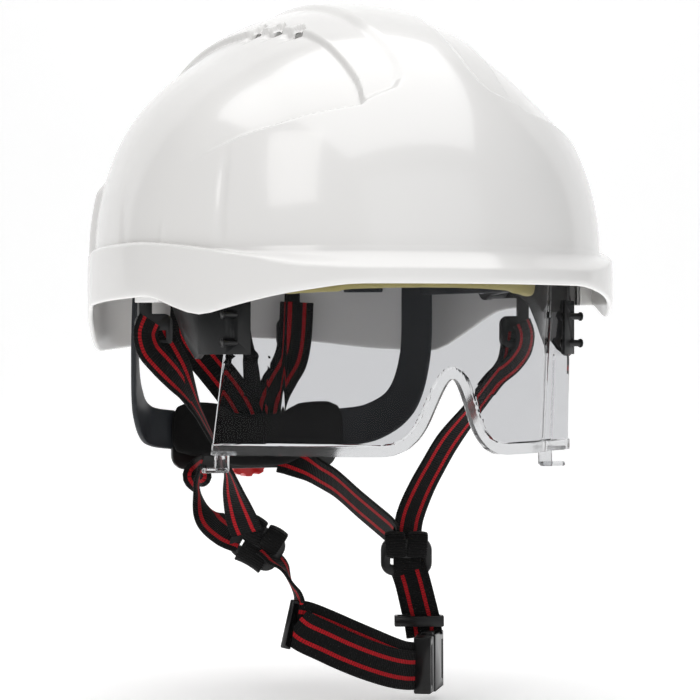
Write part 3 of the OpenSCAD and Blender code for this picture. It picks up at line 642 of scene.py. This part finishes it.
def make_shell():
    t = np.arange(AROUND) * 360.0 / AROUND
    foot = foot_elevation(t)
    share = np.arange(1, DOME_ROWS + 1) / DOME_ROWS
    e = 90 - (90 - foot[None, :]) * share[:, None]
    tt = np.broadcast_to(t, e.shape)
    dome = outer_surface(tt, e)
    inner_e = 90 * np.linspace(0.012, 1, INNER_ROWS)[:-1]
    ti, ei = np.meshgrid(t, inner_e)
    inner = inner_surface(ti, ei)
    band = soften(np.concatenate([dome[-1:], band_profile(t), inner[:1]]), 3)
    rows = np.concatenate([dome[:-1], band, inner[1:]])
    count = len(rows)
    top = outer_surface(np.array(0.0), np.array(90.0))
    under = inner_surface(np.array(0.0), np.array(90.0))
    points = np.concatenate([rows.reshape(-1, 3), [top, under]])
    faces = [tuple(f) for f in lattice(count, AROUND, True)]
    last = (count - 1) * AROUND
    for i in range(AROUND):
        n = (i + 1) % AROUND
        faces.append((count * AROUND, n, i))
        faces.append((count * AROUND + 1, last + i, last + n))
    shell = make("shell_piece", points, faces, WHITE)
    flip_out(shell)
    return shell


def box_cutter(name, centre, turn_z, tilt_y, size, bevel):
    bm = bmesh.new()
    bmesh.ops.create_cube(bm, size=1.0)
    bmesh.ops.scale(bm, vec=Vector(size) * MM, verts=bm.verts)
    bmesh.ops.bevel(bm, geom=bm.edges[:], offset=bevel * MM, segments=3, affect="EDGES", profile=0.5)
    mesh = bpy.data.meshes.new(name)
    bm.to_mesh(mesh)
    bm.free()
    obj = bpy.data.objects.new(name, mesh)
    bpy.context.scene.collection.objects.link(obj)
    twist = Matrix.Rotation(math.radians(turn_z), 4, "Z") @ Matrix.Rotation(math.radians(tilt_y), 4, "Y")
    obj.matrix_world = Matrix.Translation(Vector(centre) * MM) @ twist
    return obj


def cut(obj, cutters):
    bpy.context.view_layer.update()
    for cutter in cutters:
        modifier = obj.modifiers.new("cut", "BOOLEAN")
        modifier.operation = "DIFFERENCE"
        modifier.solver = "MANIFOLD"
        modifier.object = cutter
    apply_modifiers(obj)
    for cutter in cutters:
        bpy.data.objects.remove(cutter)


shell = make_shell()
cutters = []
for side in (-1, 1):
    for vx, vy in VENTS:
        cutters.append(box_cutter("vent", (side * vx, vy, VENT_Z), side * VENT_TURN, side * VENT_TILT,
                                  (VENT_WIDE, VENT_LONG, VENT_CUT), 0.5))
cut(shell, cutters)
# Each accessory slot's block is two walls and two ends round the open slot
for side in (-1, 1):
    centres = [(side * x, y, 1.5) for x, y in ((99.0, -30), (106.6, -30), (102.8, -42.6), (102.8, -17.4))]
    sizes = [(2.0, 28, 16), (2.4, 28, 16), (9.6, 2.8, 16), (9.6, 2.8, 16)]
    block = box_piece("slot_block", centres, sizes, WHITE, 0.5)
    rides_with(block, "shell")
shell.data.shade_smooth()
shell.data.set_sharp_from_angle(angle=math.radians(42))
stands_for(shell, "shell")


# --- lens ----------------------------------------------------------------------------------------

LENS_R, LENS_B, FOLD_X, PANEL_LONG, PANEL_TURN = 79.0, 110.0, 64.0, 30.6, 41.0
LENS_LOW, NOSE_TOP, LENS_TOP, LENS_T, LENS_LEAN, PANEL_TAPER = -72.0, -39.0, 5.0, 2.2, 0.09, 0.09
FOLD_A = math.degrees(math.asin(FOLD_X / LENS_R))
FRONT_HALF = LENS_R * math.radians(FOLD_A)
NOSE_LINE = np.array([[0, 0], [1.5, 0.02], [3, 0.08], [5, 0.2], [7, 0.34], [10.5, 0.6], [14, 0.77],
                      [19, 0.91], [25, 0.985], [30, 1]])
FLANGE_HIGH, FLANGE_OUT = 5.0, 1.0
# The raised field on each side panel: where each of its four edges starts and ends, and how proud it is
FIELD_NEAR, FIELD_FAR, FIELD_FOOT, FIELD_HEAD = (6.5, 7.5), (29.5, 30.3), (-68, -67.2), (-30, -29.2)
FIELD_PROUD = 0.6


def lens_plan(u, z, inset):
    """Plan point at signed distance u along the lens from its middle, at height z, moved inwards by inset."""
    side, far = np.sign(u), np.abs(u)
    turned = np.degrees(np.minimum(far, FRONT_HALF) / LENS_R)
    face = np.radians(np.where(far <= FRONT_HALF, turned,
                               FOLD_A + (PANEL_TURN - FOLD_A) * step01(far, FRONT_HALF, FRONT_HALF + 1.5)))
    turned = np.radians(turned)
    run = np.maximum(0, far - FRONT_HALF) * (1 - PANEL_TAPER * (z - LENS_LOW) / PANEL_LONG)
    back = math.radians(PANEL_TURN)
    x = LENS_R * np.sin(turned) + run * math.cos(back) - inset * np.sin(face)
    y = LENS_R - LENS_B - LENS_R * np.cos(turned) + run * math.sin(back) + inset * np.cos(face)
    return np.stack([side * x, y], -1)


def lens_low(u):
    x = np.abs(u)
    taps = sum(np.interp(np.abs(x + d), NOSE_LINE[:, 0], NOSE_LINE[:, 1]) for d in (-1, 0, 1)) / 3
    return NOSE_TOP + (LENS_LOW - NOSE_TOP) * taps


def make_lens():
    half = FRONT_HALF + PANEL_LONG
    u = np.concatenate([np.linspace(-half, -FRONT_HALF, 34)[:-1], np.linspace(-FRONT_HALF, FRONT_HALF, 241),
                        np.linspace(FRONT_HALF, half, 34)[1:]])
    rise = np.concatenate([np.linspace(0, 9, 28), np.linspace(9, LENS_TOP - LENS_LOW, 50)[1:]])
    share = rise / rise[-1]
    low = lens_low(u)
    uu = np.broadcast_to(u, (len(rise), len(u)))
    z = low + (LENS_TOP - low) * share[:, None]
    edge = np.stack([u, low], -1)
    near = np.sqrt((((np.stack([uu, z], -1))[:, :, None, :] - edge[None, None]) ** 2).sum(-1)).min(-1)
    run = np.abs(uu) - FRONT_HALF
    proud = FLANGE_OUT * (1 - step01(near, FLANGE_HIGH - 0.5, FLANGE_HIGH + 0.3))
    field = step01(run, *FIELD_NEAR) * (1 - step01(run, *FIELD_FAR))
    field = field * step01(z, *FIELD_FOOT) * (1 - step01(z, *FIELD_HEAD))
    proud = np.maximum(proud, FIELD_PROUD * field)

    def sheet(inset):
        plan = lens_plan(uu, z, inset)
        return np.stack([plan[..., 0], plan[..., 1] - LENS_LEAN * (z - LENS_LOW / 2), z], -1)

    outer, inner = sheet(-proud), sheet(np.full_like(z, LENS_T))
    rows = np.concatenate([outer, inner[::-1]])
    count, columns = len(rows), len(u)
    faces = [tuple(f) for f in lattice(count, columns, False, True)]
    for column in (0, columns - 1):
        for k in range(count // 2 - 1):
            faces.append((k * columns + column, (k + 1) * columns + column,
                          (count - 2 - k) * columns + column, (count - 1 - k) * columns + column))
    lens = make("lens_piece", rows.reshape(-1, 3), faces, LENS, smooth=28)
    flip_out(lens)
    lens.data.materials.append(LENS_EDGE)
    close = np.concatenate([near, near[::-1]]).ravel() < FLANGE_HIGH
    for face in lens.data.polygons:
        if all(close[v] for v in face.vertices):
            face.material_index = 1
    stands_for(lens, "lens")
    for side in (-1, 1):
        centres = [(side * 82.7, -47.8, -78.8), (side * 79.4, -47.0, -75), (side * 80.2, -52, -71.2)]
        sizes = [(11.4, 4.5, 2.2), (6.6, 2.3, 8.6), (7.0, 13, 2.0)]
        tab = box_piece("lens_foot", centres, sizes, LENS_EDGE, 0.8)
        rides_with(tab, "lens")


# --- webbing and bands ---------------------------------------------------------------------------

WEB_T = 1.5
RIBBON_STEP = 0.8


def ribbon(name, route, across, width, thick, material, crown):
    """Flat strap along a route, with rounded selvedges and a UV map in real lengths."""
    rough = spline(route, 40 * (len(route) - 1))
    length = np.linalg.norm(np.diff(rough, axis=0), axis=1).sum()
    count = max(12, int(length / RIBBON_STEP))
    at = np.concatenate([[0], np.cumsum(np.linalg.norm(np.diff(rough, axis=0), axis=1))])
    u = np.interp(np.linspace(0, at[-1], count), at, np.linspace(0, len(route) - 1, len(rough)))
    centre = np.stack([np.interp(np.linspace(0, at[-1], count), at, rough[:, k]) for k in range(3)], 1)
    w = np.asarray(across, float)
    raw = np.stack([np.interp(u, np.arange(len(w)), w[:, k]) for k in range(3)], 1)
    for _ in range(6):
        raw[1:-1] = (raw[:-2] + 2 * raw[1:-1] + raw[2:]) / 4
    along = unit(np.gradient(centre, axis=0))
    side = unit(raw - (raw * along).sum(1, keepdims=True) * along)
    up = np.cross(along, side)
    run = np.linspace(0, at[-1], count)
    half_w, half_t = width / 2, thick / 2
    x = [np.linspace(-1, -0.9, 4), np.linspace(-0.9, 0.9, 15)[1:-1], np.linspace(0.9, 1, 4)]
    x = np.concatenate(x) * half_w
    body = np.sqrt(np.clip(1 - (np.maximum(0, np.abs(x) - (half_w - half_t)) / half_t) ** 2, 0.0, 1)) * half_t
    body = np.maximum(body, 0.04)
    lift = crown * (1 - (x / half_w) ** 2)
    xs = np.concatenate([x, x[::-1]])
    ys = np.concatenate([body + lift, (lift - body)[::-1]])
    points = centre[:, None] + side[:, None] * xs[None, :, None] + up[:, None] * ys[None, :, None]
    n = len(xs)
    faces = [tuple(f) for f in lattice(count, n, True)]
    faces += [tuple(range(n)), tuple((count - 1) * n + k for k in reversed(range(n)))]
    uv = np.stack(np.broadcast_arrays(xs[None, :], run[:, None]), -1).reshape(-1, 2)
    obj = make(name, points.reshape(-1, 3), faces, material, uv=uv, smooth=60)
    flip_out(obj)
    return obj


def strap(node, route, across, width, thick=WEB_T, material=WEB, crown=0.0):
    stands_for(ribbon(node + "_piece", route, across, width, thick, material, crown), node)


def mirrored(points):
    return [(-p[0], p[1], p[2]) for p in points]


SIDE_LEFT = ([(93.5, 4.6, -12), (93, 4.6, -18), (91.5, 4.4, -25), (88, 4.5, -34), (81, 7, -43),
              (74, 15, -56), (66, 23, -70), (60, 28, -83), (53.5, 28, -94), (46, 24, -106),
              (41, 18, -117)],
             [(1, 0.1, 0), (1, 0.1, 0), (1, 0.15, -0.1), (0.9, 0.35, -0.2), (0.8, 0.5, -0.3),
              (0.8, 0.5, -0.3), (0.87, 0.3, -0.38), (0.9, 0.24, -0.35), (0.93, 0.2, -0.25),
              (0.97, 0.15, -0.1), (1, 0.1, 0)])
SIDE_LEFT_BACK = ([(94.5, 0.2, -14), (96.5, -0.6, -20), (95.5, 0.6, -27), (90.5, 3.2, -34),
                   (83.5, 6.4, -40), (79.5, 9.6, -46)],
                  [(1, 0.2, 0), (1, 0.2, 0), (0.95, 0.2, -0.1), (0.92, 0.24, -0.2), (0.9, 0.24, -0.3),
                   (0.9, 0.24, -0.35)])
SIDE_RIGHT_BACK = ([(-94.5, 0.2, -14), (-97, -0.8, -20), (-95.5, -2, -27), (-90.5, -3, -33),
                    (-85, -2.6, -38.5), (-80, -1.8, -44), (-76, -1.6, -49.5)],
                   [(1, 0.3, 0), (0.9, 0.3, 0.2), (0.8, 0.2, 0.4), (0.8, 0.2, 0.45), (0.8, 0.35, 0.45),
                    (0.65, 0.6, 0.35), (0.55, 0.8, 0.2)])
SIDE_RIGHT = ([(-92, 3.4, -13), (-90.5, 2.4, -20), (-86.5, 1, -27.5), (-82, 0.2, -35.5), (-77.5, 0, -44),
               (-71.8, 0, -54.5), (-64.8, 0, -67.3), (-59, 1, -76), (-55, 2, -84), (-52, 4, -93.5),
               (-47.8, 6, -104.5), (-45, 7, -110)],
              [(1, 0.1, 0.1), (1, 0.1, 0.2), (0.9, 0.1, 0.4), (0.85, 0.2, 0.45), (0.7, 0.55, 0.35),
               (0.5, 0.85, 0.15), (0.42, 0.9, 0.05), (0.32, 0.95, 0), (0.1, 1, 0.05), (-0.35, 0.9, 0.1),
               (-0.75, 0.6, 0.15), (-0.8, 0.5, 0.2)])
REAR = ([(28.5, 117.6, -3), (28, 117.6, -14), (27, 117.6, -24), (24, 116.2, -33), (17, 112.6, -42),
         (11, 109, -50), (8, 106.4, -56), (6.5, 104.6, -62)],
        [(1, -0.2, 0), (1, -0.2, 0), (1, -0.2, 0.1), (0.95, -0.1, 0.3), (0.88, 0, 0.45), (0.86, 0, 0.5),
         (0.86, 0, 0.5), (0.9, 0, 0.4)])
REAR_RIGHT = ([(-31, 117.6, -3), (-31.5, 117.6, -12), (-30, 117.4, -20), (-24.5, 116.2, -28),
               (-17.9, 112.6, -37), (-10.5, 109, -47.5), (-6, 106, -56), (-4, 104.6, -62)],
              [(1, 0.2, 0), (1, 0.2, 0.1), (0.9, 0.1, 0.35), (0.75, 0, 0.6), (0.72, 0, 0.68),
               (0.74, 0, 0.66), (0.8, 0, 0.6), (0.9, 0, 0.4)])
NAPE_LEFT = ([(13, 103, -80), (19, 102.4, -81.6), (25.5, 98, -84.6), (29.6, 90, -88.6), (33, 79, -93),
              (36.2, 60, -101.8), (37.6, 42, -108.4), (38, 27, -113.4), (37.4, 19, -117.1)],
             [(0, 0, 1), (0, 0, 1), (-0.1, -0.2, 0.95)] + [(-0.2, -0.3, 0.9)] * 6)
NAPE_RIGHT = ([(-31, 102, -85), (-34, 96, -85), (-40.4, 80, -85.5), (-46.5, 64, -89), (-50.8, 50, -95),
               (-53.3, 30, -105.4), (-50.6, 17, -111), (-46, 11, -113.5)],
              [(0.5, 0.3, 0.8), (0.4, 0.6, 0.7), (0.3, 0.85, 0.3), (0.3, 0.9, 0.1), (0.35, 0.9, 0.1),
               (0.3, 0.7, 0.5), (0.5, 0.3, 0.75), (0.5, 0.3, 0.8)])
LOWER_LEFT = ([(38.5, 13, -127), (39.6, 9, -134.8), (40.8, 5, -146), (41, 1, -154), (40.6, -2, -160)],
              [(0.8, -0.6, 0), (0.75, -0.6, 0.1), (0.8, -0.5, 0.1), (0.9, -0.42, 0.1), (0.9, -0.4, 0.1)])
LOWER_RIGHT = ([(-36, 7, -117.5), (-33.5, 4, -121.5), (-31, -1, -126), (-29.5, -5, -131),
                (-28.2, -10, -137.5), (-29.5, -14, -143)],
               [(0.4, 0.6, 0.6), (0.35, 0.75, 0.5), (0.3, 0.85, 0.35), (0.25, 0.9, 0.2), (0.2, 0.95, 0.1),
                (0.1, 0.9, 0.4)])
CHIN = ([(-31.6, -17, -150), (-28, -19.6, -153.5), (-20, -22.6, -157.6), (-11, -24.6, -162),
         (0, -25.4, -166.6), (12, -24.4, -170.6), (21, -22, -172.6), (27, -19.8, -173.2)],
        [(0.3, -0.1, 0.95), (0.32, -0.1, 0.95), (0.34, 0, 0.94), (0.34, 0, 0.94), (0.3, 0.05, 0.95),
         (0.2, 0.05, 0.97), (0.1, 0, 1), (0.05, 0, 1)])
TAIL = ([(-33, -14.4, -148), (-27, -17.2, -148.8), (-18, -19.4, -152.4), (-8, -21.6, -157),
         (2, -22.8, -161.4), (12, -22.2, -165.6), (20, -20.4, -168.4), (27, -18.9, -169.6)],
        [(0.3, -0.1, 0.95), (0.36, 0, 0.93), (0.4, 0.05, 0.92), (0.38, 0.05, 0.93), (0.34, 0.05, 0.94),
         (0.25, 0.05, 0.96), (0.2, 0, 0.97), (0.1, 0, 1)])
HANGER = ([(0, 118, 16), (0, 117, 0), (0, 114, -20), (0, 109, -36), (0, 106.5, -50)],
          [(0.42, 0.91, 0), (0.45, 0.89, 0), (0.7, 0.7, 0), (0.95, 0.3, 0), (1, 0, 0)])
ARM_ROUTE = ([(73, 71, 24), (74, 73, 0), (74, 75, -30), (70, 82, -52), (60, 95, -63), (44, 103.4, -66)],
             [(-0.42, 0.91, 0), (-0.42, 0.91, 0), (-0.42, 0.9, 0.1), (-0.3, 0.5, 0.8), (-0.1, 0.1, 1),
              (0, 0, 1)])


def make_wraps():
    """Where a strap goes through a divider it folds over the bar, in front of the plate."""
    for name, node, at, tilt, spots in (
            ("wrap_left", "strap_divider_left", (39, 14, -124), 0, ((-5.4, 1), (5.4, 1), (0.4, -1))),
            ("wrap_right", "strap_divider_right", (-39, 9, -116), 30, ((-5.4, 1), (5.2, 1), (0.4, -1)))):
        turn_z, lean = math.radians(-25), math.radians(tilt)
        for x, way in spots:
            local = [(x, 1.2, way * 10.4), (x, -2.6, way * 9.4), (x * 0.96, -3.8, way * 6),
                     (x * 0.9, -3.4, way * 1.6), (x * 0.9, -1.2, way * 0.2)]
            route = []
            for lx, ly, lz in local:
                px, pz = lx * math.cos(lean) + lz * math.sin(lean), -lx * math.sin(lean) + lz * math.cos(lean)
                route.append((at[0] + px * math.cos(turn_z) - ly * math.sin(turn_z),
                              at[1] + px * math.sin(turn_z) + ly * math.cos(turn_z), at[2] + pz))
            wide = (math.cos(turn_z) * math.cos(lean), math.sin(turn_z) * math.cos(lean), -math.sin(lean))
            width = 9.6 if way > 0 else 13
            piece = ribbon(name, route, [wide] * len(route), width, 1.4, PLAIN_WEB, 0.7)
            rides_with(piece, node)


CRADLE_A, CRADLE_B, CRADLE_H, CRADLE_BASE = 78, 97, 88, 12


def make_straps():
    strap("side_strap_left", *SIDE_LEFT, 15)
    strap("side_strap_right", *SIDE_RIGHT, 16)
    for name, route, node in (("side_loop_left", SIDE_LEFT_BACK, "side_strap_left"),
                              ("side_loop_right", SIDE_RIGHT_BACK, "side_strap_right")):
        rides_with(ribbon(name, *route, 13, WEB_T, WEB, 0.0), node)
    strap("rear_strap_left", *REAR, 17)
    strap("rear_strap_right", *REAR_RIGHT, 18)
    strap("nape_strap_left", *NAPE_LEFT, 16)
    strap("nape_strap_right", *NAPE_RIGHT, 14)
    strap("lower_strap_left", *LOWER_LEFT, 17)
    strap("lower_strap_right", *LOWER_RIGHT, 13)
    make_wraps()
    strap("chin_strap", *CHIN, 18)
    strap("chin_strap_tail", *TAIL, 18)
    strap("nape_hanger", *HANGER, 10, 1.2, CRADLE)
    strap("headband_arm_left", *ARM_ROUTE, 19, 2.4, BAND, crown=0.5)
    strap("headband_arm_right", mirrored(ARM_ROUTE[0]), mirrored(ARM_ROUTE[1]), 19, 2.4, BAND, crown=0.5)
    for node, t, lift in (("crown_strap_lower", 32, 0), ("crown_strap_middle", -32, 2.4),
                          ("crown_strap_upper", 90, 4.8)):
        e = np.linspace(7, 173, 25)
        route = []
        for angle in e:
            turn_by, rise = (t, angle) if angle <= 90 else (t + 180, 180 - angle)
            plan = oval(CRADLE_A + lift, CRADLE_B + lift, turn_by)
            c, sn = math.cos(math.radians(rise)), math.sin(math.radians(rise))
            route.append((plan[0] * c, plan[1] * c + 3, CRADLE_BASE + (CRADLE_H + lift) * sn))
        across = [(math.cos(math.radians(t)), math.sin(math.radians(t)), 0)] * len(route)
        strap(node, route, across, 16, 1.2, CRADLE)


# --- pads ----------------------------------------------------------------------------------------

PUFF_FRAMES = 18


def puff(obj, pressure, voxel, most):
    """Swells a closed mesh with Cloth, holding every point to within most of where it started."""
    bpy.context.view_layer.objects.active = obj
    remesh = obj.modifiers.new("even", "REMESH")
    remesh.mode = "VOXEL"
    remesh.voxel_size = voxel * MM
    apply_modifiers(obj)
    count = len(obj.data.vertices)
    start = np.zeros(count * 3)
    obj.data.vertices.foreach_get("co", start)
    start = start.reshape(-1, 3)
    cloth = obj.modifiers.new("swell", "CLOTH")
    cloth.settings.use_pressure = True
    cloth.settings.uniform_pressure_force = pressure
    cloth.settings.effector_weights.gravity = 0
    cloth.settings.quality = 5
    cloth.point_cache.frame_end = PUFF_FRAMES
    for f in range(1, PUFF_FRAMES + 1):
        bpy.context.scene.frame_set(f)
    seen = obj.evaluated_get(bpy.context.evaluated_depsgraph_get())
    end = np.zeros(count * 3)
    seen.data.vertices.foreach_get("co", end)
    end = end.reshape(-1, 3)
    obj.modifiers.remove(cloth)
    bpy.context.scene.frame_set(1)
    move = end - start
    far = np.linalg.norm(move, axis=1, keepdims=True)
    start = start + move * np.minimum(1, most * MM / np.maximum(far, 1e-9))
    obj.data.vertices.foreach_set("co", start.ravel())
    smooth = obj.modifiers.new("smooth", "SMOOTH")
    smooth.factor = 0.5
    smooth.iterations = 4
    divide = obj.modifiers.new("divide", "SUBSURF")
    divide.levels = 1
    apply_modifiers(obj)
    obj.data.shade_smooth()


BROW_A, BROW_B, BROW_HALF = 80, 101, 49


def make_brow_pad():
    """Foam strip round the brow, rolled over the band's lower edge."""
    t = np.radians(np.linspace(-BROW_HALF, BROW_HALF, 120))
    section = [(0, -4.6), (2.6, -3.6), (3.4, 0), (3.5, 9), (3.3, 19), (2.2, 22.3), (0, 23), (-2.8, 22.3),
               (-4.6, 19), (-5.6, 10), (-5.4, 0), (-3.6, -3.8)]
    section = np.array(section, float)
    closed = np.concatenate([section, section[:1]])
    section = even(closed, 49)[:-1]
    rows = []
    for a in t:
        x, y = (BROW_A + section[:, 0]) * math.sin(a), -(BROW_B + section[:, 0]) * math.cos(a)
        lift = 3.2 * (1 - (a / t[-1]) ** 2) * (1 - step01(section[:, 1], -4.6, 14))
        rows.append(np.stack([x, y, section[:, 1] + lift], -1))
    rows = np.array(rows)
    n = len(section)
    faces = [tuple(f) for f in lattice(len(rows), n, True)]
    faces += [tuple(range(n)), tuple((len(rows) - 1) * n + k for k in reversed(range(n)))]
    pad = make("brow_pad_piece", rows.reshape(-1, 3), faces, FOAM)
    flip_out(pad)
    puff(pad, 2.0, 2.6, 1.2)
    stands_for(pad, "brow_pad")


def make_nape_pad():
    """Padded nape cushion: two lobes above and a narrower tongue below."""
    outline = [(-48, -75), (-47.5, -57), (-43, -51.5), (-20, -51.5), (-13, -56.5), (13, -56.5),
               (20, -51.5), (43, -51.5), (47.5, -57), (48, -75), (43, -80), (26, -80.5), (20, -84),
               (10, -86), (-10, -86), (-20, -84), (-26, -80.5), (-42, -79.5)]
    ring = np.array(outline, float)
    for _ in range(3):
        nxt = np.roll(ring, -1, 0)
        ring = np.stack([0.75 * ring + 0.25 * nxt, 0.25 * ring + 0.75 * nxt], 1).reshape(-1, 2)
    middle = np.array([0, -68.0])
    rows = []
    for y, shrink in ((98.2, 0.35), (97.6, 0.7), (97.4, 0.93), (98.8, 0.985), (100.4, 0.985),
                      (102.0, 0.93), (102.2, 0.5)):
        x = middle[0] + (ring[:, 0] - middle[0]) * shrink
        z = middle[1] + (ring[:, 1] - middle[1]) * shrink
        rows.append(np.stack([x, np.full(len(ring), y), z], -1))
    rows = np.array(rows)
    n = rows.shape[1]
    faces = [tuple(f) for f in lattice(len(rows), n, True)]
    faces += [tuple(range(n)), tuple((len(rows) - 1) * n + k for k in reversed(range(n)))]
    pad = make("nape_pad_piece", rows.reshape(-1, 3), faces, NAPE)
    flip_out(pad)
    puff(pad, 3.0, 2.4, 1.8)
    stands_for(pad, "nape_pad")


# --- fittings ------------------------------------------------------------------------------------

def make_fittings():
    for node, material, width in (
            ("headband_front", BAND, 0.5), ("cradle_keys", BAND, 0.6), ("ratchet_housing", BLACK, 0.5),
            ("ratchet_cover", BLACK, 0.5), ("ratchet_screws", STEEL, 0.3), ("size_wheel", RED, 0.8),
            ("pinion", RED, 0.12), ("rack_left", BAND, 0.12), ("rack_right", BAND, 0.12),
            ("lens_arm_left", ARM, 0.6), ("lens_arm_right", ARM, 0.6), ("lens_rivets", BLACK, 0.35),
            ("pivot_bracket_left", ARM, 0.6), ("pivot_bracket_right", ARM, 0.6),
            ("pivot_pin_left", STEEL, 0.3), ("pivot_pin_right", STEEL, 0.3),
            ("side_hook_left", BLACK, 0.6), ("side_hook_right", BLACK, 0.6),
            ("rear_hook_left", BLACK, 0.6), ("rear_hook_right", BLACK, 0.6),
            ("strap_divider_left", BLACK, 1.0), ("strap_divider_right", BLACK, 1.0),
            ("tri_glide", BLACK, 0.6), ("buckle_socket", BLACK, 0.9), ("buckle_plug", BLACK, 0.8),
            ("buckle_prong_upper", BLACK, 0.5), ("buckle_prong_lower", BLACK, 0.5),
            ("strap_keeper", BLACK, 0.6)):
        rounded(node, material, width)


make_lens()
make_straps()
make_brow_pad()
make_nape_pad()
make_fittings()


# --- close ---------------------------------------------------------------------------------------

FINISH = {"brow_foam": FOAM, "band_grey": BAND, "cradle_web": CRADLE, "nape_cloth": NAPE,
          "fitting_black": BLACK, "screw_steel": STEEL, "wheel_red": RED, "lens_clear": LENS,
          "arm_grey": ARM, "webbing": WEB, "shell_white": WHITE}
for node, obj in frame["nodes"].items():
    for slot in obj.material_slots:
        slot.material = FINISH[SLOT[node]]
